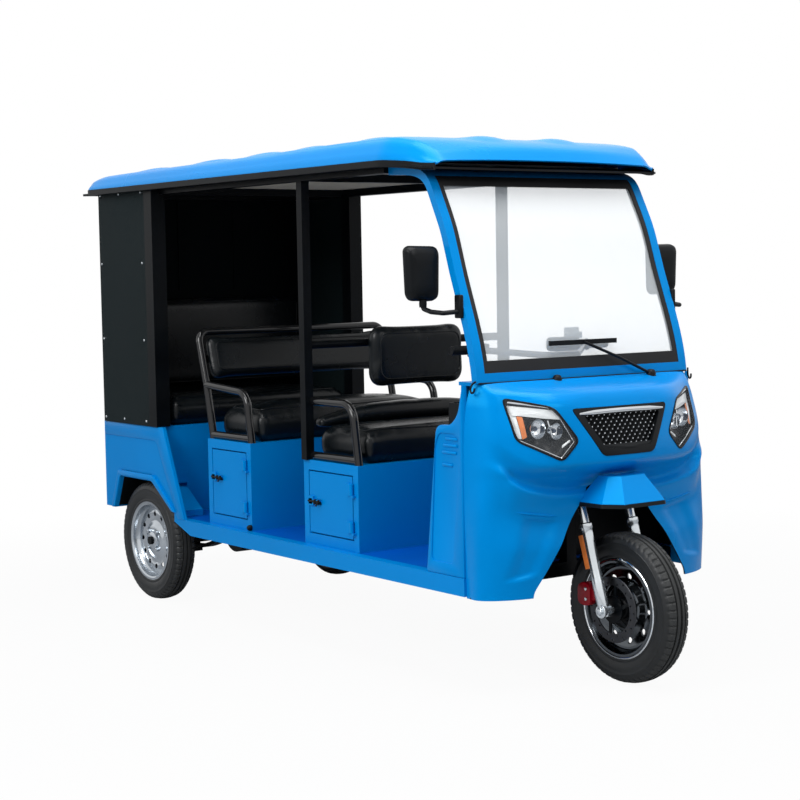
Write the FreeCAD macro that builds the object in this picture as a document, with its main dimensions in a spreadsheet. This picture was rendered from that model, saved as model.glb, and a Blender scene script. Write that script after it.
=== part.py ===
import FreeCAD, Part
import math
import os
import Sketcher
from FreeCAD import Vector

# Passenger auto rickshaw: three wheels, a bench for the driver and two behind it, a roof on posts.
# Frame: +X forward, +Y to the left, +Z up, the ground at zero, all lengths in millimetres.

SIZES = {
    # wheels and where they stand
    "rear_axle_x": -1136,
    "wheelbase": 2396,
    "tyre_radius": 250,
    "tyre_half_wide": 50,
    "tread_half_wide": 36,
    "tread_drop": 14,
    "bead_radius": 156,
    "rim_half_wide": 44,
    "rim_metal": 5,
    "rim_lip": 10,
    "rim_dish": 16,
    "hub_radius": 42,
    "hub_half_long": 38,
    "vent_radius": 15,
    "vent_ring_radius": 112,
    "disc_radius": 110,
    "disc_thick": 4,
    "disc_gap": 5,
    "disc_y": 66,
    "axle_radius": 10,
    "stub_radius": 17,
    "turning_gap": 0.1,
    "running_gap": 6,
    # deck, sills and ladder frame
    "half_wide": 512,
    "wheel_set_in": 62,
    "deck_top": 375,
    "deck_thick": 6,
    "sill_low": 315,
    "sill_wide": 40,
    "sill_rear_x": -880,
    "sill_rear_rise": 23,
    "sill_rear_ramp": 130,
    "rail_set_in": 222,
    "rail_wide": 44,
    "rail_high": 48,
    "rail_back": 275,
    "cross_wide": 40,
    "toe_gap": 120,
    # rear body
    "tail_x": -1485,
    "skin": 10,
    "waist_top": 742,
    "quarter_front_x": -952,
    "quarter_foot_x": -790,
    "arch_rear_x": -1394,
    "arch_top_rear_x": -1333,
    "arch_top_front_x": -1057,
    "arch_front_x": -880,
    "arch_top": 512,
    "arch_front_top": 398,
    "body_low": 371,
    "arch_lip_wide": 26,
    "arch_lip_out": 6,
    "plate_hole_y": 80,
    "plate_hole_z": 610,
    "plate_hole_radius": 3.5,
    "tub_wide": 127,
    "tub_skin": 5,
    "bench_front_x": -1000,
    "panel_out": 12,
    "panel_thick": 20,
    "panel_front_x": -1050,
    "pillar_front_x": -986,
    "pillar_wide": 44,
    "back_panel_x": -1440,
    "back_rib_wide": 22,
    "back_rib_out": 6,
    "back_rib_low": 1300,
    "back_rib_top": 1690,
    # benches
    "bench_set_in": 42,
    "bench_wall": 15,
    "mid_rear_x": -663,
    "mid_front_x": -336,
    "mid_high": 340,
    "front_rear_x": 39,
    "front_front_x": 389,
    "front_high": 310,
    "soft_gap": 0.3,
    "seat_round": 22,
    "rear_seat_front_x": -990,
    "rear_seat_rear_x": -1416,
    "rear_seat_set_in": 57,
    "rear_seat_thick": 108,
    "seat_set_in": 78,
    "mid_seat_thick": 112,
    "front_seat_thick": 112,
    "front_seat_rear_gap": 4,
    "bolster_thick": 62,
    "bolster_high": 82,
    "bolster_round": 20,
    "rear_back_low": 862,
    "rear_back_top": 1284,
    "rear_back_thick": 46,
    # box doors
    "door_gap": 5,
    "door_low": 415,
    "door_side_margin": 32,
    "door_top_margin": 36,
    "door_thick": 15,
    "pin_radius": 4,
    "knuckle_radius": 8,
    "knuckle_long": 40,
    "knuckle_inset": 30,
    "hinge_stand": 9,
    "latch_wide": 74,
    "latch_high": 12,
    "latch_out": 9,
    "latch_inset": 3,
    "latch_drop": 118,
    "latch_pad_wide": 30,
    "latch_pad_high": 34,
    # seat frames of bent tube
    "tube_radius": 15,
    "frame_set_in": 60,
    "mid_frame_foot_x": -656,
    "mid_frame_joint_x": -691,
    "mid_frame_joint_z": 928,
    "mid_frame_top_x": -752,
    "mid_frame_top_z": 1138,
    "mid_arm_front_x": -352,
    "mid_arm_high": 908,
    "frame_bend": 70,
    "mid_pad_low": 942,
    "mid_pad_top": 1112,
    "pad_set_in": 82,
    "mid_pad_thick": 52,
    "front_arm_front_x": 372,
    "front_arm_high": 900,
    # canopy frame
    "post_x": 64,
    "post_set_in": 45,
    "post_wide": 34,
    "canopy_rail_wide": 44,
    "canopy_rail_high": 30,
    "canopy_back": 656,
    "canopy_top": 1730,
    "cross_tube_z": 1105,
    "driver_pad_low": 937,
    "driver_pad_top": 1170,
    "driver_pad_half_wide": 218,
    "driver_pad_thick": 62,
    "driver_pad_round": 26,
    "pad_hanger_wide": 30,
    "pad_hanger_thick": 6,
    # roof
    "roof_rear_x": -1510,
    "roof_back": 371,
    "roof_out": 48,
    "roof_rise": 110,
    "roof_lip": 18,
    "roof_shoulder": 62,
    "roof_skin": 8,
    "lining_thick": 8,
    "lining_ahead": 36,
    "roof_pad_high": 20,
    "roof_pad_long": 300,
    "roof_pad_wide": 330,
    "roof_pad_slope": 34,
    # windscreen arch
    "arch_bar_wide": 34,
    "arch_bar_deep": 28,
    "arch_foot_ahead": 30,
    "arch_drop": 8,
    "arch_gap_long": 118,
    "screen_low": 1036,
    "screen_top": 1682,
    "screen_frame_side": 18,
    "screen_frame_low": 39,
    "screen_frame_top": 34,
    "screen_frame_deep": 14,
    "glass_thick": 5,
    # nose shell
    "nose_back": 220,
    "nose_long": 240,
    "nose_low": 310,
    "nose_high": 694,
    "nose_skin": 9,
    "grille_deep": 26,
    "grille_recess": 8,
    "grille_border": 20,
    "lamp_deep": 44,
    "trim_gap": 1.5,
    "overrun": 40,
    # fender under the nose
    "fender_ahead": 85,
    "fender_set_in": 106,
    "fender_low": 597,
    "fender_top": 690,
    "fender_half_wide": 144,
    "fender_skin": 5,
    # leg shields beside the driver
    "pod_foot_back": 202,
    "pod_rear_back": 145,
    "pod_top": 865,
    "pod_top_back": 65,
    "pod_neck_z": 905,
    "pod_thick": 24,
    "apron_foot_back": 135,
    "apron_top_back": 106,
    "apron_thick": 8,
    "dash_thick": 12,
    "dash_hole_radius": 34,
    # steering
    "steer_lean": 17.7,
    "leg_ahead": 42,
    "leg_y": 104,
    "leg_radius": 19,
    "stanchion_radius": 15,
    "leg_break": 240,
    "leg_long": 372,
    "boss_radius": 23,
    "yoke_thick": 26,
    "yoke_long": 88,
    "yoke_back": 25,
    "yoke_margin": 22,
    "stem_radius": 15,
    "head_radius": 25,
    "head_low": 640,
    "head_top": 800,
    "stem_top": 1064,
    "bar_radius": 11,
    "bar_root_half": 70,
    "grip_back": 176,
    "grip_rise": 34,
    "grip_inner_half": 252,
    "grip_outer_half": 350,
    "grip_radius": 16,
    "grip_gap": 6,
    "pod_wide": 112,
    "pod_deep": 62,
    "pod_behind": 37,
    "pod_high": 52,
    "pod_round": 10,
    "caliper_back": 138,
    "caliper_long": 62,
    "caliper_out": 14,
    "caliper_in": 12,
    "caliper_high": 84,
    "caliper_arm_back": 101,
    "caliper_arm_low": 42,
    "caliper_arm_top": 67,
    # rear axle and springs
    "axle_tube_radius": 30,
    "axle_flange_radius": 82,
    "axle_flange_thick": 10,
    "diff_radius": 92,
    "diff_wide": 150,
    "motor_radius": 82,
    "motor_long": 190,
    "spring_reach": 290,
    "spring_rise": 66,
    "spring_thick": 16,
    "spring_wide": 50,
    "spring_plate_long": 96,
    "spring_plate_thick": 14,
    "hanger_thick": 34,
    # fittings
    "mirror_back": 160,
    "mirror_set_in": 37,
    "mirror_wide": 132,
    "mirror_low": 1267,
    "mirror_high": 184,
    "mirror_deep": 40,
    "mirror_round": 16,
    "mirror_arm_radius": 8,
    "mirror_elbow_out": 59,
    "mirror_foot_z": 1250,
    "mirror_foot_high": 74,
    "mirror_foot_thick": 12,
    "mirror_foot_inset": 3,
    "tail_lamp_set_in": 82,
    "tail_lamp_wide": 96,
    "tail_lamp_high": 150,
    "tail_lamp_low": 520,
    "tail_lamp_thick": 18,
    "wiper_ahead": 48,
    "wiper_foot_drop": 17,
    "wiper_knee_high": 16,
    "wiper_pivot_y": 280,
    "wiper_pivot_radius": 13,
    "wiper_arm_radius": 5,
    "wiper_tip_y": -4,
    "wiper_tip_z": 1122,
    "wiper_blade_half": 150,
    "wiper_blade_high": 16,
    "battery_long": 250,
    "battery_wide": 520,
    "battery_high": 230,
    "pedal_y": -150,
    "pedal_low": 54,
    "pedal_back": 90,
    "pedal_wide": 70,
    "pedal_long": 90,
    "pedal_thick": 8,
    "pedal_arm_radius": 8,
    "pedal_arm_high": 180,
    "pedal_arm_reach": 63,
}

# Places and widths that follow from the sizes above.
FOLLOWING = {
    "front_axle_x": "rear_axle_x + wheelbase",
    "nose_rear_x": "front_axle_x - nose_back",
    "rail_front_x": "front_axle_x - rail_back",
    "canopy_rail_front_x": "front_axle_x - canopy_back",
    "roof_long": "front_axle_x - roof_back - roof_rear_x",
    "lining_front_x": "canopy_rail_front_x + lining_ahead",
    "fender_front_x": "front_axle_x + fender_ahead",
    "pod_foot_x": "nose_rear_x - pod_foot_back",
    "pod_rear_x": "nose_rear_x - pod_rear_back",
    "pod_top_x": "nose_rear_x - pod_top_back",
    "apron_foot_x": "nose_rear_x - apron_foot_back",
    "apron_top_x": "nose_rear_x - apron_top_back",
    "mirror_x": "nose_rear_x - mirror_back",
    "rear_wheel_y": "half_wide - wheel_set_in",
    "rail_y": "half_wide - rail_set_in",
    "tub_inner_y": "half_wide - tub_wide",
    "bench_half_wide": "half_wide - bench_set_in",
    "rear_back_half_wide": "half_wide - bench_set_in",
    "arch_half_wide": "half_wide - bench_set_in",
    "rear_seat_half_wide": "half_wide - rear_seat_set_in",
    "seat_half_wide": "half_wide - seat_set_in",
    "mid_pad_half_wide": "half_wide - pad_set_in",
    "dash_half_wide": "half_wide - pad_set_in",
    "frame_y": "half_wide - frame_set_in",
    "post_y": "half_wide - post_set_in",
    "roof_half_wide": "half_wide + roof_out",
    "mirror_inner_y": "half_wide - mirror_set_in",
    "tail_lamp_y": "half_wide - tail_lamp_set_in",
}

doc = FreeCAD.newDocument("AutoRickshaw")
sheet = doc.addObject("Spreadsheet::Sheet", "Sizes")
rows = [(name, str(number)) for name, number in SIZES.items()]
rows += [(name, f"={formula}") for name, formula in FOLLOWING.items()]
for row, (name, entry) in enumerate(rows, 1):
    sheet.set(f"A{row}", name)
    sheet.set(f"B{row}", entry)
    sheet.setAlias(f"B{row}", name)
    doc.recompute()

nodes = {}


class Size:
    """A length with the cell formula that gives it, so that what is built from it stays bound."""

    def __init__(self, formula, value):
        self.formula = formula
        self.value = value

    def __add__(self, other):
        other = as_size(other)
        return Size(f"({self.formula} + {other.formula})", self.value + other.value)

    def __sub__(self, other):
        other = as_size(other)
        return Size(f"({self.formula} - {other.formula})", self.value - other.value)

    def __mul__(self, share):
        return Size(f"({self.formula} * {share})", self.value * share)

    def __truediv__(self, parts):
        return Size(f"({self.formula} / {parts})", self.value / parts)

    def __neg__(self):
        return Size(f"(0 - {self.formula})", -self.value)


def as_size(thing):
    return thing if isinstance(thing, Size) else Size(str(thing), float(thing))


class Cells:
    """The sheet's named cells, each as a Size."""

    def __getattr__(self, name):
        return Size(f"Sizes.{name}", float(sheet.get(name)))


cell = Cells()
zero = as_size(0)
SIDES = (("right", -1), ("left", 1))


def nose_top():
    """The height of the nose's flat top, where the windscreen arch and the leg shields end."""
    return cell.nose_low + cell.nose_high


def point(x, y, z):
    return Vector(as_size(x).value, as_size(y).value, as_size(z).value)


def label(thing, name):
    thing.Label = name
    return thing


def keep(thing, name):
    """Name a finished sub-part, which gets its own file."""
    nodes[name] = label(thing, name)
    return thing


def place(thing, x, y, z):
    for axis, size in zip("xyz", (x, y, z)):
        thing.setExpression(f"Placement.Base.{axis}", as_size(size).formula)
    return thing


def box(name, low, high):
    """A block between two corners."""
    block = label(doc.addObject("Part::Box", name), name)
    for side, start, stop in zip(("Length", "Width", "Height"), low, high):
        block.setExpression(side, (as_size(stop) - start).formula)
    return place(block, *low)


def rod(name, radius, length, base, axis="Z"):
    """A round bar along one axis, from its base."""
    bar = label(doc.addObject("Part::Cylinder", name), name)
    bar.setExpression("Radius", as_size(radius).formula)
    bar.setExpression("Height", as_size(length).formula)
    turns = {"X": (Vector(0, 1, 0), 90), "Y": (Vector(1, 0, 0), -90), "Z": (Vector(0, 0, 1), 0)}
    bar.Placement.Rotation = FreeCAD.Rotation(*turns[axis])
    return place(bar, *base)


def cut(name, base, *tools):
    tool = tools[0] if len(tools) == 1 else fuse(name + "_tools", *tools)
    result = label(doc.addObject("Part::Cut", name), name)
    result.Base = base
    result.Tool = tool
    return result


def fuse(name, *shapes):
    result = label(doc.addObject("Part::MultiFuse", name), name)
    result.Shapes = list(shapes)
    return result


def common(name, *shapes):
    result = label(doc.addObject("Part::MultiCommon", name), name)
    result.Shapes = list(shapes)
    return result


def rounded(name, block, radius):
    """Round every edge of a block, as on a stuffed cushion."""
    doc.recompute()
    result = label(doc.addObject("Part::Fillet", name), name)
    result.Base = block
    size = as_size(radius).value
    result.Edges = [(number, size, size) for number in range(1, len(block.Shape.Edges) + 1)]
    return result


def sketch(body, plane, outline, level):
    """A closed outline on one of the body's own planes, each corner bound to its sizes."""
    drawing = body.newObject("Sketcher::SketchObject", body.Name + "_sketch")
    origin_plane = [item for item in body.Origin.OriginFeatures if item.Role == plane][0]
    drawing.AttachmentSupport = (origin_plane, [""])
    drawing.MapMode = "FlatFace"
    drawing.setExpression("AttachmentOffset.Base.z", level.formula)
    corners = [(as_size(u), as_size(v)) for u, v in outline]
    count = len(corners)
    for index in range(count):
        start = corners[index]
        stop = corners[(index + 1) % count]
        line = Part.LineSegment(point(start[0], start[1], zero), point(stop[0], stop[1], zero))
        drawing.addGeometry(line)
    for index in range(count):
        drawing.addConstraint(Sketcher.Constraint("Coincident", index, 2, (index + 1) % count, 1))
    for index, corner in enumerate(corners):
        for kind, size in zip(("DistanceX", "DistanceY"), corner):
            rule = drawing.addConstraint(Sketcher.Constraint(kind, -1, 1, index, 1, size.value))
            drawing.setExpression(f"Constraints[{rule}]", size.formula)
    return drawing


def slab(name, plane, outline, low, high):
    """A flat piece of one outline: XZ between two Y levels, YZ between two X, XY between two Z."""
    body = label(doc.addObject("PartDesign::Body", name), name)
    low = as_size(low)
    high = as_size(high)
    level = -high if plane == "XZ_Plane" else low
    drawing = sketch(body, plane, outline, level)
    pad = body.newObject("PartDesign::Pad", name + "_pad")
    pad.Profile = drawing
    pad.setExpression("Length", (high - low).formula)
    return body


def turned(name, outline, base):
    """A solid of revolution about the Y axis through base, its outline as (radius, y)."""
    body = label(doc.addObject("PartDesign::Body", name), name)
    drawing = sketch(body, "XY_Plane", outline, zero)
    spin = body.newObject("PartDesign::Revolution", name + "_spin")
    spin.Profile = drawing
    spin.ReferenceAxis = (drawing, ["V_Axis"])
    spin.Angle = 360
    return place(body, *base)


def shaped(name, shape):
    """A piece whose curved form no primitive gives, its sizes read from the sheet."""
    piece = label(doc.addObject("Part::Feature", name), name)
    piece.Shape = shape
    return piece


def pair(name, left):
    """The left piece and its mirror image on the right, as one sub-part."""
    other = label(doc.addObject("Part::Mirroring", name + "_mirror"), name + "_mirror")
    other.Source = left
    other.Normal = Vector(0, 1, 0)
    both = label(doc.addObject("Part::Compound", name), name)
    both.Links = [left, other]
    return both


def bent_path(points, radius):
    """Straight runs joined by tangent arcs of one radius."""
    edges = []
    start = points[0]
    for before, corner, after in zip(points, points[1:], points[2:]):
        back = (before - corner).normalize()
        ahead = (after - corner).normalize()
        half = back.getAngle(ahead) / 2
        trim = radius / math.tan(half)
        first = corner + back * trim
        last = corner + ahead * trim
        middle = (back + ahead).normalize()
        centre = corner + middle * (radius / math.sin(half))
        crest = centre - middle * radius
        edges.append(Part.LineSegment(start, first).toShape())
        edges.append(Part.Arc(first, crest, last).toShape())
        start = last
    edges.append(Part.LineSegment(start, points[-1]).toShape())
    return Part.Wire(edges)


def bent_tube(points, tube, bend):
    """A round tube swept along straight runs and bends."""
    path = bent_path(points, bend)
    direction = points[1] - points[0]
    ring = Part.Wire(Part.makeCircle(tube, points[0], direction))
    return path.makePipeShell([ring], True, False)


def band(front, back):
    """A flat band between two curves in the XZ plane, as a face at y zero."""
    first = Part.BSplineCurve()
    first.interpolate(front)
    second = Part.BSplineCurve()
    second.interpolate(back)
    edges = [
        first.toShape(),
        Part.makeLine(front[-1], back[-1]),
        second.toShape(),
        Part.makeLine(back[0], front[0]),
    ]
    return Part.Face(Part.Wire(Part.__sortEdges__(edges)))


# Wheels


def tyre(name, base):
    """A road tyre: beads between the rim's lips, bulged walls and a crowned tread."""
    bead = cell.bead_radius
    tall = cell.tyre_radius - bead
    wall_share = 0.52
    shoulder_share = 0.86
    outline = [
        (bead, -(cell.rim_half_wide - cell.rim_metal)),
        (bead + cell.rim_lip + cell.trim_gap, -(cell.rim_half_wide - cell.rim_metal)),
        (bead + cell.rim_lip + cell.trim_gap, -cell.rim_half_wide),
        (bead + tall * wall_share, -cell.tyre_half_wide),
        (bead + tall * shoulder_share, -(cell.tyre_half_wide - cell.rim_metal)),
        (cell.tyre_radius - cell.tread_drop / 2, -cell.tread_half_wide),
        (cell.tyre_radius, -cell.tread_half_wide / 2),
        (cell.tyre_radius, cell.tread_half_wide / 2),
        (cell.tyre_radius - cell.tread_drop / 2, cell.tread_half_wide),
        (bead + tall * shoulder_share, cell.tyre_half_wide - cell.rim_metal),
        (bead + tall * wall_share, cell.tyre_half_wide),
        (bead + cell.rim_lip + cell.trim_gap, cell.rim_half_wide),
        (bead + cell.rim_lip + cell.trim_gap, cell.rim_half_wide - cell.rim_metal),
        (bead, cell.rim_half_wide - cell.rim_metal),
    ]
    keep(turned(name, outline, base), name)


def rim(name, base, bore, out, vents):
    """A pressed wheel: barrel with two lips, a dished disc, a hub and a ring of vent holes."""
    bead = cell.bead_radius
    metal = cell.rim_metal
    half = cell.rim_half_wide
    lip = bead + cell.rim_lip
    well = bead - cell.rim_lip
    dish = cell.rim_dish * out
    barrel = [
        (bead - metal, -half),
        (lip, -half),
        (lip, metal - half),
        (bead, metal - half),
        (bead, half - metal),
        (lip, half - metal),
        (lip, half),
        (bead - metal, half),
    ]
    disc = [
        (cell.hub_radius - metal, dish - metal),
        (well, dish / 2 - metal),
        (bead - metal / 2, dish / 2 - metal),
        (bead - metal / 2, dish / 2 + metal),
        (well, dish / 2 + metal),
        (cell.hub_radius - metal, dish + metal),
    ]
    hub = [
        (bore, -cell.hub_half_long),
        (cell.hub_radius, -cell.hub_half_long),
        (cell.hub_radius, cell.hub_half_long),
        (bore, cell.hub_half_long),
    ]
    barrel = turned(name + "_barrel", barrel, base)
    disc = turned(name + "_disc", disc, base)
    hub = turned(name + "_hub", hub, base)
    drills = []
    for index in range(vents):
        angle = math.radians(360 * index / vents)
        x = base[0] + cell.vent_ring_radius * math.cos(angle)
        z = base[2] + cell.vent_ring_radius * math.sin(angle)
        low = as_size(base[1]) - cell.tyre_half_wide
        wide = cell.tyre_half_wide * 2
        drills.append(rod(f"{name}_vent_{index}", cell.vent_radius, wide, (x, low, z), "Y"))
    pierced = cut(name + "_pierced_disc", disc, *drills)
    keep(fuse(name, barrel, pierced, hub), name)


def make_wheels():
    axle_x = cell.rear_axle_x
    vent_count = 8
    for side, sign in SIDES:
        base = (axle_x, cell.rear_wheel_y * sign, cell.tyre_radius)
        tyre(f"rear_tyre_{side}", base)
        rim(f"rear_rim_{side}", base, cell.stub_radius + cell.turning_gap, sign, vent_count)
    base = (cell.front_axle_x, zero, cell.tyre_radius)
    tyre("front_tyre", base)
    rim("front_rim", base, cell.axle_radius + cell.turning_gap, -1, vent_count)
    disc = [
        (cell.hub_radius - cell.rim_metal, -cell.disc_thick / 2),
        (cell.disc_radius, -cell.disc_thick / 2),
        (cell.disc_radius, cell.disc_thick / 2),
        (cell.hub_radius - cell.rim_metal, cell.disc_thick / 2),
    ]
    carrier = [
        (cell.axle_radius + cell.turning_gap, zero),
        (cell.hub_radius, zero),
        (cell.hub_radius, cell.disc_y - cell.hub_half_long + cell.disc_thick / 2),
        (cell.axle_radius + cell.turning_gap, cell.disc_y - cell.hub_half_long + cell.disc_thick / 2),
    ]
    low = -(cell.disc_y + cell.disc_thick / 2)
    plate = turned("brake_disc_plate", disc, (base[0], -cell.disc_y, base[2]))
    boss = turned("brake_disc_boss", carrier, (base[0], low, base[2]))
    keep(fuse("brake_disc", plate, boss), "brake_disc")


# Deck, sills and ladder frame


def make_deck():
    low = cell.deck_top - cell.deck_thick
    inner = cell.half_wide - cell.sill_wide
    front = cell.rail_front_x - cell.cross_wide
    outline = [
        (front, -inner),
        (front, inner),
        (cell.arch_front_x + cell.tub_skin, inner),
        (cell.arch_front_x + cell.tub_skin, cell.tub_inner_y - cell.tub_skin),
        (cell.tail_x + cell.skin, cell.tub_inner_y - cell.tub_skin),
        (cell.tail_x + cell.skin, cell.tub_skin - cell.tub_inner_y),
        (cell.arch_front_x + cell.tub_skin, cell.tub_skin - cell.tub_inner_y),
        (cell.arch_front_x + cell.tub_skin, -inner),
    ]
    keep(slab("floor_deck", "XY_Plane", outline, low, cell.deck_top), "floor_deck")
    sill = [
        (cell.sill_rear_x, cell.sill_low + cell.sill_rear_rise * 2),
        (cell.sill_rear_x + cell.sill_rear_ramp, cell.sill_low),
        (cell.nose_rear_x, cell.sill_low),
        (cell.nose_rear_x, cell.deck_top),
        (cell.sill_rear_x, cell.deck_top),
    ]
    left = slab("sill_left", "XZ_Plane", sill, inner, cell.half_wide)
    keep(pair("side_sills", left), "side_sills")


def steer_x(height):
    """Where the steering axis is at a height: it leans back and passes behind the wheel's centre."""
    lean = math.tan(math.radians(SIZES["steer_lean"]))
    return cell.front_axle_x - cell.leg_ahead - (as_size(height) - cell.tyre_radius) * lean


def tilted(thing, base):
    """Lean a piece with the steering axis."""
    thing.Placement.Rotation = FreeCAD.Rotation(Vector(0, 1, 0), -SIZES["steer_lean"])
    return place(thing, *base)


def make_frame():
    top = cell.deck_top - cell.deck_thick
    low = top - cell.rail_high
    rear = cell.tail_x + cell.skin * 2
    half = cell.rail_wide / 2
    parts = []
    for side, sign in SIDES:
        middle = cell.rail_y * sign
        corner = (cell.rail_front_x, middle + half, top)
        parts.append(box(f"rail_{side}", (rear, middle - half, low), corner))
    reach = cell.half_wide - cell.sill_wide
    front = cell.rail_front_x - cell.cross_wide
    bays = (
        ("tail", rear, cell.rail_y),
        ("bench", cell.arch_front_x + cell.cross_wide, reach),
        ("mid", cell.mid_front_x, reach),
        ("seat", cell.front_rear_x, reach),
        ("toe", cell.front_front_x + cell.toe_gap, reach),
        ("nose", front, reach),
    )
    for name, x, half_long in bays:
        parts.append(box(f"cross_{name}", (x, -half_long, low), (x + cell.cross_wide, half_long, top)))
    neck = [
        (front, low),
        (cell.rail_front_x, low),
        (cell.rail_front_x, cell.head_low - cell.rail_high / 2),
        (steer_x(cell.head_low), cell.head_low),
        (steer_x(cell.head_top), cell.head_top),
        (front, cell.head_top - cell.rail_high * 2),
    ]
    parts.append(slab("neck", "XZ_Plane", neck, -half, half))
    lean = math.cos(math.radians(SIZES["steer_lean"]))
    head_long = (cell.head_top - cell.head_low) / lean
    head = rod("head_tube", cell.head_radius, head_long, (zero, zero, zero))
    parts.append(tilted(head, (steer_x(cell.head_low), zero, cell.head_low)))
    for side, sign in SIDES:
        for end, reach_share in (("rear", -1), ("front", 1)):
            eye = cell.rear_axle_x + cell.spring_reach * reach_share
            middle = cell.rail_y * sign
            name = f"hanger_{end}_{side}"
            eye_low = cell.tyre_radius - cell.axle_tube_radius + cell.spring_rise
            corner = (eye - cell.hanger_thick / 2, middle - half, eye_low)
            parts.append(box(name, corner, (eye + cell.hanger_thick / 2, middle + half, low)))
    solid = fuse("ladder_solid", *parts)
    bore_base = cell.head_low - cell.overrun
    bore_long = head_long + cell.overrun * 3
    bore = rod("head_bore", cell.stem_radius + cell.turning_gap, bore_long, (zero, zero, zero))
    tilted(bore, (steer_x(bore_base), zero, bore_base))
    keep(cut("chassis_frame", solid, bore), "chassis_frame")


# Rear body


def arch_outline(grow):
    """The wheel opening's four corners, grown outward."""
    return [
        (cell.arch_front_x + grow, cell.arch_front_top),
        (cell.arch_top_front_x + grow / 2, cell.arch_top + grow),
        (cell.arch_top_rear_x - grow / 2, cell.arch_top + grow),
        (cell.arch_rear_x - grow, cell.body_low),
    ]


def make_rear_body():
    inner = cell.half_wide - cell.skin
    rear = cell.tail_x + cell.skin
    side = [
        (rear, cell.body_low),
        (rear, cell.waist_top),
        (cell.quarter_front_x, cell.waist_top),
        (cell.quarter_foot_x, cell.deck_top),
        (cell.sill_rear_x, cell.deck_top),
    ] + arch_outline(zero)
    panel = slab("quarter_panel", "XZ_Plane", side, inner, cell.half_wide)
    lip = arch_outline(cell.arch_lip_wide) + arch_outline(zero)[::-1]
    raised = slab("arch_lip", "XZ_Plane", lip, cell.half_wide, cell.half_wide + cell.arch_lip_out)
    quarter = fuse("quarter_left", panel, raised)
    other = label(doc.addObject("Part::Mirroring", "quarter_right"), "quarter_right")
    other.Source = quarter
    other.Normal = Vector(0, 1, 0)
    low = (cell.tail_x, -cell.half_wide, cell.body_low)
    tail = box("tail_panel", low, (rear, cell.half_wide, cell.waist_top))
    solid = fuse("rear_body_solid", quarter, other, tail)
    start = cell.tail_x - cell.overrun
    drills = []
    for side_name, sign in SIDES:
        base = (start, cell.plate_hole_y * sign, cell.plate_hole_z)
        drills.append(rod(f"plate_hole_{side_name}", cell.plate_hole_radius, cell.overrun * 2, base, "X"))
    keep(cut("rear_body", solid, *drills), "rear_body")


def make_tubs():
    """The wheel tubs that close each arch inside the body."""
    outer = cell.half_wide - cell.skin
    strip = arch_outline(cell.tub_skin) + arch_outline(zero)[::-1]
    roof = slab("tub_roof", "XZ_Plane", strip, cell.tub_inner_y, outer)
    wall = arch_outline(cell.tub_skin)
    side = slab("tub_side", "XZ_Plane", wall, cell.tub_inner_y - cell.tub_skin, cell.tub_inner_y)
    keep(pair("wheel_tubs", fuse("tub_left", roof, side)), "wheel_tubs")


def make_rear_bench():
    wall = cell.bench_wall
    front = cell.bench_front_x
    outer = cell.half_wide - cell.skin
    crown = cell.arch_top + cell.tub_skin
    inner = cell.tub_inner_y - cell.tub_skin
    face = [
        (-inner, cell.deck_top),
        (inner, cell.deck_top),
        (inner, crown),
        (outer, crown),
        (outer, cell.waist_top),
        (-outer, cell.waist_top),
        (-outer, crown),
        (-inner, crown),
    ]
    front_wall = slab("bench_face", "YZ_Plane", face, front - wall, front)
    top_low = (cell.tail_x + cell.skin, -outer, cell.waist_top - wall)
    top = box("bench_top", top_low, (front, outer, cell.waist_top))
    keep(fuse("rear_bench", front_wall, top), "rear_bench")


def make_side_panels():
    outer = cell.half_wide + cell.panel_out
    low = (cell.back_panel_x - cell.panel_thick, outer - cell.panel_thick, cell.waist_top)
    left = box("panel_left", low, (cell.panel_front_x, outer, cell.canopy_top))
    keep(pair("side_panels", left), "side_panels")
    inner = outer - cell.panel_thick
    corner = (cell.back_panel_x - cell.panel_thick, -inner, cell.waist_top)
    top = cell.canopy_top - cell.canopy_rail_high
    ribs = [box("back_sheet", corner, (cell.back_panel_x, inner, top))]
    rib_shares = (-0.84, -0.28, 0.28, 0.84)
    for index, share in enumerate(rib_shares):
        y = inner * share
        start = (cell.back_panel_x, y - cell.back_rib_wide / 2, cell.back_rib_low)
        stop = (cell.back_panel_x + cell.back_rib_out, y + cell.back_rib_wide / 2, cell.back_rib_top)
        ribs.append(box(f"back_rib_{index}", start, stop))
    keep(fuse("back_panel", *ribs), "back_panel")


# Benches, cushions and box doors


def bench_box(name, rear, front, high):
    """A sheet metal box on the deck, open below and with a doorway in each side."""
    top = cell.deck_top + high
    half = cell.bench_half_wide
    wall = cell.bench_wall
    outside = box(name + "_outside", (rear, -half, cell.deck_top), (front, half, top))
    hollow_low = (rear + wall, wall - half, cell.deck_top - cell.overrun)
    hollow = box(name + "_hollow", hollow_low, (front - wall, half - wall, top - wall))
    way_low = (rear + cell.door_side_margin, -half - cell.overrun, cell.door_low)
    way_high = (front - cell.door_side_margin, half + cell.overrun, top - cell.door_top_margin)
    doorway = box(name + "_doorway", way_low, way_high)
    shell = cut(name + "_shell", outside, hollow, doorway)
    pieces = [shell]
    for side, sign in SIDES:
        pieces += hinge_pins(f"{name}_{side}", front, top, sign)
    keep(fuse(name, *pieces), name)


def hinge_places(top):
    """The lower ends of a door's two knuckles."""
    low = cell.door_low + cell.knuckle_inset
    high = top - cell.door_top_margin - cell.knuckle_inset - cell.knuckle_long
    return low, high


def hinge_axis(front, sign):
    x = front - cell.door_side_margin
    y = (cell.bench_half_wide + cell.hinge_stand) * sign
    return x, y


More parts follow.
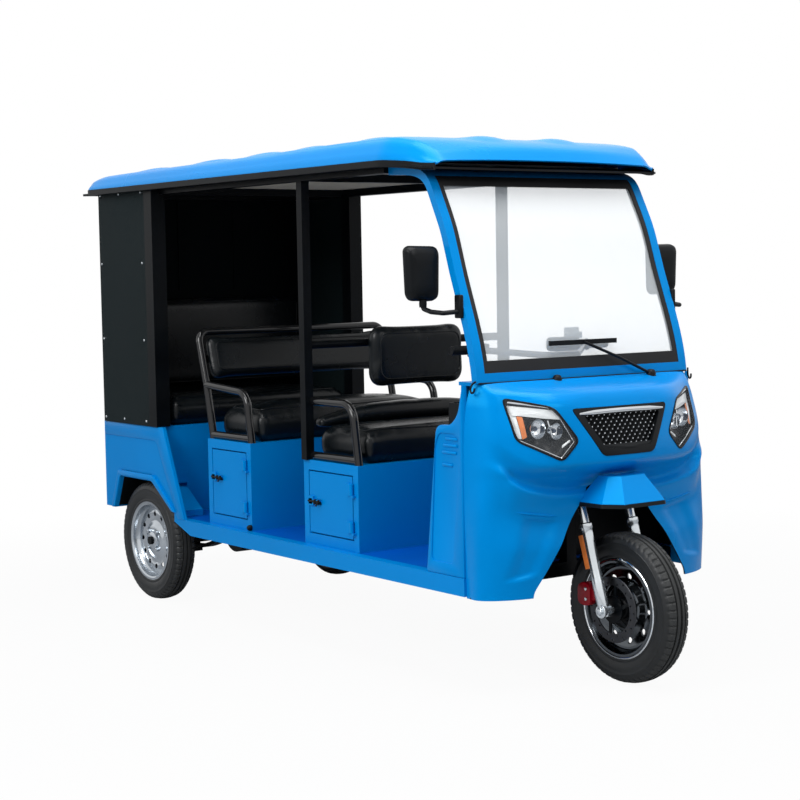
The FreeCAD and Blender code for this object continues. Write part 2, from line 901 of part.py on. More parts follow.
def hinge_pins(name, front, top, sign):
    """Two fixed pins, each on an arm beside the knuckle, that carry one door."""
    x, y = hinge_axis(front, sign)
    arm_half = cell.knuckle_radius / 2
    parts = []
    for index, low in enumerate(hinge_places(top)):
        start = low - cell.knuckle_radius - cell.turning_gap
        long = cell.knuckle_long + cell.knuckle_radius
        parts.append(rod(f"{name}_pin_{index}", cell.pin_radius, long, (x, y, start)))
        inside = cell.bench_half_wide * sign
        outside = y + cell.pin_radius * sign
        near, far = (inside, outside) if sign > 0 else (outside, inside)
        corner = (x - arm_half, near, start)
        arm_high = (x + cell.door_side_margin / 2, far, low - cell.turning_gap)
        parts.append(box(f"{name}_arm_{index}", corner, arm_high))
    return parts


def box_door(name, rear, front, high, sign):
    """A side door hung on its front edge, with a latch plate at the rear edge."""
    top = cell.deck_top + high
    gap = cell.door_gap
    half = cell.bench_half_wide
    outside = half * sign
    inside = (half - cell.door_thick) * sign
    near, far = (inside, outside) if sign > 0 else (outside, inside)
    low = (rear + cell.door_side_margin + gap, near, cell.door_low + gap)
    high_corner = (front - cell.door_side_margin - gap, far, top - cell.door_top_margin - gap)
    plate = box(name + "_plate", low, high_corner)
    x, y = hinge_axis(front, sign)
    parts = [plate]
    for index, start in enumerate(hinge_places(top)):
        barrel = rod(f"{name}_knuckle_{index}", cell.knuckle_radius, cell.knuckle_long, (x, y, start))
        leaf_ends = (outside, y + cell.pin_radius * sign)
        near, far = leaf_ends if sign > 0 else leaf_ends[::-1]
        leaf_low = (x - cell.door_side_margin, near, start)
        leaf_high = (x - cell.pin_radius, far, start + cell.knuckle_long)
        leaf = box(f"{name}_leaf_{index}", leaf_low, leaf_high)
        parts += [barrel, leaf]
    latch_ends = (outside, (half + cell.latch_out) * sign)
    near, far = latch_ends if sign > 0 else latch_ends[::-1]
    latch_x = low[0] + cell.latch_inset
    latch_z = top - cell.door_top_margin - cell.latch_drop
    latch_high = (latch_x + cell.latch_wide, far, latch_z + cell.latch_high)
    parts.append(box(name + "_latch", (latch_x, near, latch_z), latch_high))
    middle = latch_z + cell.latch_high / 2
    pad_low = (latch_x, near, middle - cell.latch_pad_high / 2)
    pad_high = (latch_x + cell.latch_pad_wide, far, middle + cell.latch_pad_high / 2)
    parts.append(box(name + "_latch_pad", pad_low, pad_high))
    solid = fuse(name + "_solid", *parts)
    bores = []
    for index, start in enumerate(hinge_places(top)):
        base = (x, y, start - cell.knuckle_radius)
        long = cell.knuckle_long + cell.knuckle_radius * 2
        bores.append(rod(f"{name}_bore_{index}", cell.pin_radius + cell.turning_gap, long, base))
    keep(cut(name, solid, *bores), name)


def cushion(name, low, high, radius):
    block = box(name + "_block", low, high)
    keep(rounded(name, block, radius), name)


def make_benches():
    places = (
        ("mid", cell.mid_rear_x, cell.mid_front_x, cell.mid_high),
        ("front", cell.front_rear_x, cell.front_front_x, cell.front_high),
    )
    for name, rear, front, high in places:
        bench_box(name + "_bench", rear, front, high)
        for side, sign in SIDES:
            box_door(f"{name}_door_{side}", rear, front, high, sign)
    gap = cell.soft_gap
    round_edge = cell.seat_round
    seat = cell.waist_top + gap
    low = (cell.rear_seat_rear_x, -cell.rear_seat_half_wide, seat)
    high = (cell.rear_seat_front_x, cell.rear_seat_half_wide, seat + cell.rear_seat_thick)
    cushion("rear_cushion", low, high, round_edge)
    seat = cell.deck_top + cell.mid_high + gap
    low = (cell.mid_rear_x, -cell.seat_half_wide, seat)
    high = (cell.mid_front_x, cell.seat_half_wide, seat + cell.mid_seat_thick)
    cushion("mid_cushion", low, high, round_edge)
    seat = cell.deck_top + cell.front_high + gap
    low = (cell.front_rear_x + cell.front_seat_rear_gap, -cell.seat_half_wide, seat)
    high = (cell.front_front_x, cell.seat_half_wide, seat + cell.front_seat_thick)
    cushion("front_cushion", low, high, round_edge)
    seat = seat + cell.front_seat_thick + gap
    low = (low[0], -cell.seat_half_wide, seat)
    high = (low[0] + cell.bolster_thick, cell.seat_half_wide, seat + cell.bolster_high)
    cushion("front_bolster", low, high, cell.bolster_round)
    start = cell.back_panel_x + gap
    low = (start, -cell.rear_back_half_wide, cell.rear_back_low)
    high = (start + cell.rear_back_thick, cell.rear_back_half_wide, cell.rear_back_top)
    back_round_share = 0.8
    cushion("rear_backrest", low, high, round_edge * back_round_share)
    middle = (cell.front_rear_x + cell.front_front_x) / 2
    low = (middle - cell.battery_long / 2, -cell.battery_wide / 2, cell.deck_top)
    high = (middle + cell.battery_long / 2, cell.battery_wide / 2, cell.deck_top + cell.battery_high)
    keep(box("battery_pack", low, high), "battery_pack")


def below(level):
    """A block that takes off what a tube's slanted end leaves under a level."""
    reach = cell.wheelbase.value
    return Part.makeBox(reach, reach, reach, Vector(-reach / 2, -reach / 2, level.value - reach))


def make_seat_frames():
    tube = cell.tube_radius.value
    bend = cell.frame_bend.value
    half = cell.frame_y
    floor = cell.deck_top + cell.mid_high
    top = cell.mid_frame_top_z
    top_x = cell.mid_frame_top_x
    joint = (cell.mid_frame_joint_x, cell.mid_frame_joint_z)
    foot_x = cell.mid_frame_foot_x + cell.tube_radius
    hoop = [
        point(foot_x, -half, floor - cell.tube_radius),
        point(joint[0], -half, joint[1]),
        point(top_x, -half, top),
        point(top_x, half, top),
        point(joint[0], half, joint[1]),
        point(foot_x, half, floor - cell.tube_radius),
    ]
    hoop_bend_share = 0.6
    shape = bent_tube(hoop, tube, bend * hoop_bend_share)
    for side, sign in SIDES:
        y = half * sign
        arm = [
            point(joint[0], y, joint[1]),
            point(cell.mid_arm_front_x - cell.frame_bend / 2, y, cell.mid_arm_high),
            point(cell.mid_arm_front_x, y, floor - cell.tube_radius),
        ]
        foot_bar = Part.makeCylinder(
            tube,
            (cell.mid_arm_front_x - foot_x).value,
            point(foot_x, y, floor + cell.tube_radius),
            Vector(1, 0, 0),
        )
        shape = shape.multiFuse([bent_tube(arm, tube, bend), foot_bar])
    shape = shape.cut(below(floor))
    lean_share = (joint[0] - top_x).value / (top - joint[1]).value

    def leaning(low, high, behind, ahead):
        """An outline in the plane of the hoop, from behind it to ahead of it."""
        low_x = joint[0] - (low - joint[1]) * lean_share
        high_x = joint[0] - (high - joint[1]) * lean_share
        return [
            (low_x - behind, low),
            (low_x + ahead, low),
            (high_x + ahead, high),
            (high_x - behind, high),
        ]

    half_thick = cell.mid_pad_thick / 2
    outline = leaning(cell.mid_pad_low, cell.mid_pad_top, half_thick, half_thick)
    pad = slab("mid_pad_block", "XZ_Plane", outline, -cell.mid_pad_half_wide, cell.mid_pad_half_wide)
    pad_round_share = 0.9
    keep(rounded("mid_backrest", pad, cell.seat_round * pad_round_share), "mid_backrest")
    slat_low = (cell.mid_pad_low + cell.mid_pad_top - cell.pad_hanger_wide) / 2
    slat_top = slat_low + cell.pad_hanger_wide
    near = half_thick + cell.soft_gap
    outline = leaning(slat_low, slat_top, near + cell.pad_hanger_thick, -near)
    slat = slab("mid_pad_slat", "XZ_Plane", outline, -half, half)
    outline = leaning(slat_low, slat_top, near + cell.pad_hanger_thick, zero)
    lug_ends = (half - cell.tube_radius, half)
    lug = slab("mid_pad_lug_left", "XZ_Plane", outline, *lug_ends)
    other = slab("mid_pad_lug_right", "XZ_Plane", outline, -lug_ends[1], -lug_ends[0])
    keep(fuse("mid_seat_frame", shaped("mid_seat_tubes", shape), slat, lug, other), "mid_seat_frame")
    floor = cell.deck_top + cell.front_high
    arms = []
    for side, sign in SIDES:
        y = half * sign
        route = [
            point(cell.post_x + cell.post_wide / 2, y, cell.front_arm_high),
            point(cell.front_arm_front_x - cell.frame_bend / 2, y, cell.front_arm_high),
            point(cell.front_arm_front_x, y, floor - cell.tube_radius),
        ]
        foot_bar = Part.makeCylinder(
            tube,
            (cell.front_arm_front_x - cell.post_x - cell.post_wide / 2).value,
            point(cell.post_x + cell.post_wide / 2, y, floor + cell.tube_radius),
            Vector(1, 0, 0),
        )
        arms.append(bent_tube(route, tube, bend).cut(below(floor)).fuse(foot_bar))
    keep(shaped("front_armrests", Part.makeCompound(arms)), "front_armrests")


# Canopy frame, roof and lining


def make_canopy_frame():
    half = cell.post_wide / 2
    rail_low = cell.canopy_top - cell.canopy_rail_high
    floor = cell.deck_top + cell.front_high
    rear = cell.back_panel_x - cell.panel_thick
    parts = []
    inner = cell.half_wide + cell.panel_out - cell.panel_thick
    for side, sign in SIDES:
        y = cell.post_y * sign
        corner = (cell.post_x - half, y - half, floor)
        parts.append(box(f"post_{side}", corner, (cell.post_x + half, y + half, rail_low)))
        wide = cell.canopy_rail_wide / 2
        corner = (rear, y - wide, rail_low)
        stop = (cell.canopy_rail_front_x, y + wide, cell.canopy_top)
        parts.append(box(f"canopy_rail_{side}", corner, stop))
        near = (inner - cell.pillar_wide) * sign
        far = (cell.half_wide + cell.panel_out) * sign
        low_y, high_y = (near, far) if sign > 0 else (far, near)
        corner = (cell.panel_front_x, low_y, cell.waist_top)
        stop = (cell.pillar_front_x, high_y, cell.canopy_top)
        parts.append(box(f"rear_pillar_{side}", corner, stop))
    beams = (
        ("tail", rear),
        ("door", cell.panel_front_x),
        ("post", cell.post_x - half),
        ("brow", cell.canopy_rail_front_x - cell.post_wide),
    )
    for name, x in beams:
        corner = (x, -cell.post_y, rail_low)
        stop = (x + cell.post_wide, cell.post_y, cell.canopy_top)
        parts.append(box(f"canopy_beam_{name}", corner, stop))
    base = (cell.post_x, -cell.post_y, cell.cross_tube_z)
    parts.append(rod("post_cross_tube", cell.tube_radius, cell.post_y * 2, base, "Y"))
    keep(fuse("canopy_frame", *parts), "canopy_frame")
    front = cell.post_x + cell.tube_radius + cell.soft_gap
    low = (front, -cell.driver_pad_half_wide, cell.driver_pad_low)
    high = (front + cell.driver_pad_thick, cell.driver_pad_half_wide, cell.driver_pad_top)
    cushion("driver_backrest", low, high, cell.driver_pad_round)


# Along the roof: place, half width, lower edge, shoulder and crown, as shares of the roof's sizes.
ROOF_SHARES = (
    (0.000, 0.950, 0.00, 0.30, 0.36),
    (0.014, 1.000, 0.00, 0.50, 0.60),
    (0.060, 1.000, 0.00, 0.61, 0.75),
    (0.540, 1.000, 0.00, 0.72, 0.88),
    (0.835, 1.000, 0.00, 0.82, 0.98),
    (0.905, 1.000, 0.00, 0.84, 1.00),
    (0.955, 0.955, -0.07, 0.72, 0.88),
    (0.985, 0.905, -0.16, 0.34, 0.46),
    (1.000, 0.875, -0.18, 0.00, 0.05),
)


def roof_section(x, half, low, shoulder, crown, wall):
    """One cross section of the roof: upright lips, a sloping shoulder and a low crown."""
    step = cell.roof_shoulder.value
    lip = min(cell.roof_lip.value, (shoulder - low) / 2)
    quarter_out_share = 0.5
    quarter_up_share = 0.8
    corners = [
        (half, low),
        (half, low + lip),
        (half - step, shoulder),
        ((half - step) * quarter_out_share, shoulder + (crown - shoulder) * quarter_up_share),
        (0, crown),
    ]
    inset = [(max(y - wall, 0), z - wall if index else z) for index, (y, z) in enumerate(corners)]
    right = [Vector(x, -y, z) for y, z in inset]
    left = [Vector(x, y, z) for y, z in inset[-2::-1]]
    return Part.makePolygon(right + left + [right[0]])


def roof_loft(wall):
    """The roof's outer form, or with a wall the hollow inside it."""
    sections = []
    top = cell.canopy_top.value
    rise = cell.roof_rise.value
    last = len(ROOF_SHARES) - 1
    for index, (along, wide, low, shoulder, crown) in enumerate(ROOF_SHARES):
        x = cell.roof_rear_x.value + cell.roof_long.value * along
        x += wall if index == 0 else 0
        x -= wall if index == last else 0
        half = cell.roof_half_wide.value * wide
        heights = [top + rise * share for share in (low, shoulder, crown)]
        if wall:
            heights[0] -= wall / 4
        sections.append(roof_section(x, half, *heights, wall))
    return Part.makeLoft(sections, True, True)


def make_roof():
    skin = cell.roof_skin.value
    outer = shaped("roof_outside", roof_loft(0))
    inner = shaped("roof_hollow", roof_loft(skin))
    pads = roof_pads()
    shell = cut("roof_bare", outer, inner)
    keep(fuse("roof_shell", shell, *pads), "roof_shell")
    slab_low = (cell.roof_rear_x - cell.overrun, -cell.roof_half_wide * 2, cell.canopy_top)
    slab_high = (cell.lining_front_x, cell.roof_half_wide * 2, cell.canopy_top + cell.lining_thick)
    keep(common("roof_lining", inner, box("lining_slab", slab_low, slab_high)), "roof_lining")
    front = cell.roof_rear_x + cell.roof_long
    visor_drop_share = 0.12
    drop = cell.roof_rise * visor_drop_share
    outline = [
        (cell.lining_front_x, cell.canopy_top),
        (front, cell.canopy_top - drop),
        (front, cell.canopy_top - drop + cell.lining_thick),
        (cell.lining_front_x, cell.canopy_top + cell.lining_thick),
    ]
    visor = slab("visor_slab", "XZ_Plane", outline, -cell.roof_half_wide, cell.roof_half_wide)
    keep(common("roof_visor", inner, visor), "roof_visor")


# The raised panels: place along the roof, and the heights of foot and top as shares of its rise.
ROOF_PAD_SHARES = (
    (0.120, 0.720, 0.804),
    (0.320, 0.754, 0.844),
    (0.486, 0.782, 0.877),
    (0.629, 0.807, 0.906),
    (0.800, 0.836, 0.940),
)


def roof_pads():
    """Two rows of raised panels pressed into the roof."""
    pads = []
    rise = cell.roof_rise.value
    for column, sign in SIDES:
        y = (cell.roof_pad_wide.value / 2 + cell.roof_pad_slope.value) * sign
        for index, (along, foot, crest) in enumerate(ROOF_PAD_SHARES):
            x = cell.roof_rear_x.value + cell.roof_long.value * along
            base = cell.canopy_top.value + rise * foot
            top = cell.canopy_top.value + rise * crest + cell.roof_pad_high.value
            pads.append(shaped(f"roof_pad_{column}_{index}", raised_pad(x, y, base, top)))
    return pads


def raised_pad(x, y, base, top):
    long = cell.roof_pad_long.value / 2
    wide = cell.roof_pad_wide.value / 2
    slope = cell.roof_pad_slope.value
    rings = []
    for z, inset in ((base, 0), (top, slope)):
        corners = [(-1, -1), (1, -1), (1, 1), (-1, 1)]
        ring = [Vector(x + u * (long - inset), y + v * (wide - inset), z) for u, v in corners]
        rings.append(Part.makePolygon(ring + [ring[0]]))
    return Part.makeLoft(rings, True, True)


# Windscreen arch, its frame and glass

# The front curve of the arch from the roof rail down: along and up, as shares of its reach.
ARCH_SHARES = (
    (0.000, 1.000),
    (0.258, 0.990),
    (0.463, 0.938),
    (0.537, 0.863),
    (0.658, 0.706),
    (0.749, 0.533),
    (0.842, 0.370),
    (0.922, 0.228),
    (0.978, 0.095),
    (1.000, 0.000),
)


def arch_curve(depth):
    """The arch's front curve, or one that lies a depth behind and below it."""
    reach = (cell.nose_rear_x + cell.arch_foot_ahead - cell.canopy_rail_front_x).value
    foot = nose_top().value
    tall = cell.canopy_top.value - cell.arch_drop.value - foot
    points = [
        Vector(cell.canopy_rail_front_x.value + reach * u, 0, foot + tall * v)
        for u, v in ARCH_SHARES
    ]
    moved = []
    for index, spot in enumerate(points):
        before = points[max(index - 1, 0)]
        after = points[min(index + 1, len(points) - 1)]
        along = (after - before).normalize()
        normal = Vector(along.z, 0, -along.x).normalize()
        moved.append(spot + normal * depth)
    if depth:
        moved[0] = Vector(points[0].x, 0, points[0].z - depth)
        moved[-1] = Vector(points[-1].x - depth, 0, points[-1].z)
    return moved


def arch_sheet(front_depth, back_depth, half):
    """A curved sheet that follows the arch, between two depths and two sides."""
    face = band(arch_curve(front_depth), arch_curve(back_depth))
    face.translate(Vector(0, -half, 0))
    return face.extrude(Vector(0, half * 2, 0))


def make_windscreen():
    half = cell.arch_half_wide
    inner = half - cell.arch_bar_wide
    deep = cell.arch_bar_deep.value
    start_x = cell.canopy_rail_front_x.value - cell.overrun.value
    far_x = cell.nose_rear_x.value + cell.nose_long.value

    def window(side, low, top, name):
        corner = (as_size(start_x), -side, low)
        return box(name, corner, (as_size(far_x), side, top))

    whole = shaped("arch_whole", arch_sheet(0, deep, half.value))
    hole = window(inner, cell.screen_low, cell.screen_top, "arch_window")
    back_low = (cell.canopy_rail_front_x - cell.overrun, -inner, cell.screen_top)
    back_high = (cell.canopy_rail_front_x + cell.arch_gap_long, inner, cell.canopy_top + cell.overrun)
    gap = box("arch_roof_gap", back_low, back_high)
    keep(cut("windscreen_arch", whole, hole, gap), "windscreen_arch")

    set_back = cell.trim_gap.value
    frame_deep = cell.screen_frame_deep.value
    sheet_all = shaped("screen_sheet", arch_sheet(set_back, set_back + frame_deep, inner.value))
    limits = window(inner, cell.screen_low, cell.screen_top, "screen_limits")
    ring = common("screen_ring", sheet_all, limits)
    low = cell.screen_low + cell.screen_frame_low
    top = cell.screen_top - cell.screen_frame_top
    side = inner - cell.screen_frame_side
    keep(cut("windscreen_frame", ring, window(side, low, top, "screen_opening")), "windscreen_frame")
    glass_front = set_back + (frame_deep - cell.glass_thick.value) / 2
    glass_back = glass_front + cell.glass_thick.value
    pane = shaped("glass_sheet", arch_sheet(glass_front, glass_back, side.value))
    keep(common("windscreen_glass", pane, window(side, low, top, "glass_limits")), "windscreen_glass")


# Nose shell with its lamps, grille and fender

# Plan sections of the nose from the bottom up: height, then how far forward it stands and how far
# out, from the rear edge on one side to the middle, as shares of the nose's sizes.
NOSE_SHARES = (
    (0.000, ((0, 0.98), (0.266, 0.975), (0.473, 0.86), (0.604, 0.66), (0.652, 0.29), (0.67, 0))),
    (0.215, ((0, 0.986), (0.294, 0.975), (0.51, 0.86), (0.633, 0.66), (0.68, 0.29), (0.699, 0))),
    (0.410, ((0, 0.99), (0.322, 0.96), (0.473, 0.84), (0.529, 0.64), (0.548, 0.29), (0.557, 0))),
    (0.555, ((0, 0.99), (0.341, 0.94), (0.51, 0.82), (0.652, 0.62), (0.736, 0.29), (0.755, 0))),
    (0.625, ((0, 0.99), (0.378, 0.925), (0.633, 0.76), (0.84, 0.52), (0.967, 0.215), (1, 0))),
    (0.750, ((0, 0.986), (0.369, 0.905), (0.567, 0.78), (0.798, 0.52), (0.901, 0.29), (0.925, 0))),
    (0.885, ((0, 0.97), (0.313, 0.88), (0.426, 0.79), (0.722, 0.53), (0.788, 0.29), (0.802, 0))),
    (0.942, ((0, 0.95), (0.266, 0.87), (0.369, 0.78), (0.604, 0.53), (0.685, 0.29), (0.699, 0))),
    (1.000, ((0, 0.92), (0.105, 0.89), (0.134, 0.8), (0.152, 0.53), (0.162, 0.29), (0.171, 0))),
)


def nose_section(height, spots, wall):
    """One level of the nose, as a smooth front joined across the back by straight lines."""
    z = cell.nose_low.value + cell.nose_high.value * height
    rear = cell.nose_rear_x.value
    half = cell.half_wide.value
    left = []
    for index, (forward, out) in enumerate(spots):
        x = rear + cell.nose_long.value * forward - (wall if index else wall * 3)
        y = max(half * out - wall, 0)
        left.append(Vector(x, y, z))
    right = [Vector(spot.x, -spot.y, spot.z) for spot in left[-2::-1]]
    spots_all = left + right
    curve = Part.BSplineCurve()
    curve.interpolate(spots_all)
    return Part.Wire([curve.toShape(), Part.makeLine(spots_all[-1], spots_all[0])])


def nose_loft(wall):
    """The nose's outer form, or with a wall the hollow that is open behind and below."""
    sections = []
    last = len(NOSE_SHARES) - 1
    for index, (height, spots) in enumerate(NOSE_SHARES):
        section = nose_section(height, spots, wall)
        if wall and index == 0:
            section.translate(Vector(0, 0, -wall * 2))
        if wall and index == last:
            section.translate(Vector(0, 0, -wall))
        sections.append(section)
    return Part.makeLoft(sections, True, True)


# Seen from ahead, as shares of the half width and of the nose's height: a headlamp's corners with
# the way each is drawn in, and the left halves of the grille and of the way cut for the wheel.
LAMP_SHARES = (
    ((0.391, 0.728), (1, 0)),
    ((0.527, 0.880), (0, -1)),
    ((0.811, 0.916), (-1, -1)),
    ((0.785, 0.741), (-1, 1)),
    ((0.518, 0.644), (0, 1)),
)
GRILLE_SHARES = (((0.416, 0.875), (-1, -1)), ((0.219, 0.648), (-1, 1)))
WHEEL_WAY_SHARES = ((0.250, 0.516), (0.293, 0.409), (0.668, 0.022))


def nose_spot(shares):
    out, up = shares
    return cell.half_wide * out, cell.nose_low + cell.nose_high * up


def drawn_in(corners, inset):
    """The corners of an outline on the nose, each drawn in by a gap."""
    spots = []
    for shares, (out, up) in corners:
        y, z = nose_spot(shares)
        spots.append((y + inset * out, z + inset * up))
    return spots


def both_sides(left):
    """An outline from its left half, which runs from the top down."""
    return [(-y, z) for y, z in left] + left[::-1]


def lamp_outline(sign, inset):
    return [(y * sign, z) for y, z in drawn_in(LAMP_SHARES, inset)]


def grille_outline(inset):
    return both_sides(drawn_in(GRILLE_SHARES, inset))


def make_nose():
    skin = cell.nose_skin.value
    outside = shaped("nose_outside", nose_loft(0))
    inside = shaped("nose_hollow", nose_loft(skin))
    back = cell.nose_rear_x
    front = cell.nose_rear_x + cell.nose_long + cell.overrun
    left = [nose_spot(shares) for shares in WHEEL_WAY_SHARES]
    left.append((left[-1][0], cell.nose_low - cell.overrun))
    wheel_way = both_sides(left)
    tools = [inside, slab("wheel_way", "YZ_Plane", wheel_way, back, front)]
    tools.append(slab("grille_way", "YZ_Plane", grille_outline(zero), back, front))
    for side, sign in SIDES:
        tools.append(slab(f"lamp_way_{side}", "YZ_Plane", lamp_outline(sign, zero), back, front))
    keep(cut("nose_shell", outside, *tools), "nose_shell")

    gap = cell.trim_gap
    set_in = shaped("grille_back", nose_loft(0).translated(Vector(-cell.grille_deep.value, 0, 0)))
    prism = slab("grille_prism", "YZ_Plane", grille_outline(gap), back, front)
    block = common("grille_block", outside, prism)
    floor = shaped("grille_floor", nose_loft(0).translated(Vector(-cell.grille_recess.value, 0, 0)))
    field = slab("grille_field", "YZ_Plane", grille_outline(cell.grille_border), back, front)
    recess = cut("grille_hollow", common("grille_field_block", outside, field), floor)
    keep(cut("grille", block, set_in, recess), "grille")
    lamp_back = shaped("lamp_back", nose_loft(0).translated(Vector(-cell.lamp_deep.value, 0, 0)))
    lamps = []
    for side, sign in SIDES:
        prism = slab(f"lamp_prism_{side}", "YZ_Plane", lamp_outline(sign, gap), back, front)
        lamps.append(cut(f"headlamp_{side}", common(f"lamp_block_{side}", outside, prism), lamp_back))
    both = doc.addObject("Part::Compound", "headlamps")
    both.Links = lamps
    keep(both, "headlamps")


def fender_loft(wall):
    """The fender: a flat top, sloping sides and a brow over the wheel."""
    rear = cell.nose_rear_x.value + cell.fender_set_in.value
    long = cell.fender_front_x.value - rear
    half = cell.fender_half_wide.value
    low = cell.fender_low.value - wall * 2
    top = cell.fender_top.value - wall
    lip = low + wall * 2 + cell.fender_skin.value * 2
    lower_shares = [(0, 1), (0.72, 0.95), (1, 0.62)]
    upper_shares = [(0, 0.66), (0.56, 0.56), (0.72, 0.36)]
    rings = []
    for z, shares in ((low, lower_shares), (lip, lower_shares), (top, upper_shares)):
        right = []
        for index, (u, v) in enumerate(shares):
            x = rear + long * u - (wall if index else wall * 3)
            right.append(Vector(x, -(half * v - wall), z))
        left = [Vector(spot.x, -spot.y, spot.z) for spot in right[::-1]]
        rings.append(Part.makePolygon(right + left + [right[0]]))
    return Part.makeLoft(rings, True, True)


def make_fender():
    solid = shaped("fender_outside", fender_loft(0))
    hollow = shaped("fender_hollow", fender_loft(cell.fender_skin.value))
    nose = shaped("fender_trim", nose_loft(0))
    keep(cut("front_fender", solid, hollow, nose), "front_fender")


# Leg shields, apron and dashboard


def make_cab_front():
    outer = cell.half_wide
    inner = outer - cell.pod_thick
    shield = [
        (cell.pod_foot_x, cell.deck_top),
        (cell.pod_rear_x, cell.pod_top - cell.pod_thick * 2),
        (cell.pod_rear_x + cell.pod_thick, cell.pod_top),
        (cell.pod_top_x, cell.pod_top),
        (cell.nose_rear_x - cell.pod_thick, cell.pod_neck_z),
        (cell.nose_rear_x, nose_top()),
        (cell.nose_rear_x, cell.deck_top),
    ]
    left = slab("leg_shield_left", "XZ_Plane", shield, inner, outer)
    keep(pair("leg_shields", left), "leg_shields")
    apron = [
        (cell.apron_foot_x, cell.deck_top),
        (cell.apron_foot_x + cell.apron_thick, cell.deck_top),
        (cell.apron_top_x + cell.apron_thick, nose_top() - cell.dash_thick),
        (cell.apron_top_x, nose_top() - cell.dash_thick),
    ]
    apron = slab("apron_sheet", "XZ_Plane", apron, -inner, inner)
    rear = cell.apron_foot_x - cell.overrun
    low = cell.pod_top - cell.pod_thick
    far = inner + cell.overrun
    right_high = (cell.nose_rear_x, -cell.dash_half_wide, nose_top())
    left_high = (cell.nose_rear_x, far, nose_top())
    trims = [
        box("apron_corner_right", (rear, -far, low), right_high),
        box("apron_corner_left", (rear, cell.dash_half_wide, low), left_high),
    ]
    keep(cut("inner_apron", apron, *trims), "inner_apron")
    top = nose_top() - cell.dash_thick
    low = (cell.apron_top_x - cell.dash_thick, -cell.dash_half_wide, top)
    high = (cell.nose_rear_x, cell.dash_half_wide, nose_top())
    shelf = box("dash_shelf", low, high)
    hole = rod("dash_hole", cell.dash_hole_radius, cell.overrun * 4, (zero, zero, zero))
    start = nose_top() - cell.overrun * 2
    tilted(hole, (steer_x(start), zero, start))
    keep(cut("dashboard", shelf, hole), "dashboard")


# Steering


def make_fork():
    axle = cell.tyre_radius
    lean = math.cos(math.radians(SIZES["steer_lean"]))
    x = cell.front_axle_x
    parts = []
    for side, sign in SIDES:
        y = cell.leg_y * sign
        slider = rod(f"fork_slider_{side}", cell.leg_radius, cell.leg_break, (zero, zero, zero))
        parts.append(tilted(slider, (x, y, axle)))
        stanchion = rod(f"fork_tube_{side}", cell.stanchion_radius, cell.leg_long, (zero, zero, zero))
        parts.append(tilted(stanchion, (x, y, axle)))
        start = (x, y - cell.leg_radius, axle)
        parts.append(rod(f"fork_boss_{side}", cell.boss_radius, cell.leg_radius * 2, start, "Y"))
    parts.append(rod("front_axle", cell.axle_radius, cell.leg_y * 2, (x, -cell.leg_y, axle), "Y"))
    yoke_z = axle + cell.leg_long * lean - cell.yoke_thick
    reach = cell.leg_y + cell.yoke_margin
    yoke = box("fork_yoke", (zero, zero, zero), (cell.yoke_long, reach * 2, cell.yoke_thick))
    parts.append(tilted(yoke, (steer_x(yoke_z) - cell.yoke_back, -reach, yoke_z)))
    top = cell.stem_top
    root = steer_x(top)
    stem_long = (top - yoke_z) / lean + cell.stem_radius
    stem = rod("fork_stem", cell.stem_radius, stem_long, (zero, zero, zero))
    parts.append(tilted(stem, (steer_x(yoke_z), zero, yoke_z)))
    above_low = (root - cell.overrun, -cell.overrun, top)
    above_high = (root + cell.overrun, cell.overrun, top + cell.overrun)
    solid = fuse("fork_solid", *parts)
    keep(cut("fork", solid, box("stem_trim", above_low, above_high)), "fork")


def make_handlebar():
    """A swept bar with two grips, and the instrument pod on its middle."""
    root = steer_x(cell.stem_top)
    back = root - cell.grip_back
    up = cell.stem_top + cell.grip_rise
    height = cell.stem_top + cell.bar_radius
    route = [
        point(back, -cell.grip_outer_half, up),
        point(back, -cell.grip_inner_half, up),
        point(root, -cell.bar_root_half, height),
        point(root, cell.bar_root_half, height),
        point(back, cell.grip_inner_half, up),
        point(back, cell.grip_outer_half, up),
    ]
    tube = bent_tube(route, cell.bar_radius.value, cell.bar_radius.value * 3)
    radius = cell.grip_radius.value
    long = (cell.grip_outer_half - cell.grip_inner_half - cell.grip_gap).value
    grips = []
    for side, sign in SIDES:
        tip = point(back, cell.grip_outer_half * sign, up)
        grips.append(Part.makeCylinder(radius, long, tip, Vector(0, -sign, 0)))
    keep(shaped("handlebar", tube.multiFuse(grips)), "handlebar")
    pod_low = height + cell.bar_radius
    low = (root - cell.pod_behind, -cell.pod_wide / 2, pod_low)
    high = (root - cell.pod_behind + cell.pod_deep, cell.pod_wide / 2, pod_low + cell.pod_high)
    pod = box("instrument_block", low, high)
    keep(rounded("instrument_pod", pod, cell.pod_round), "instrument_pod")


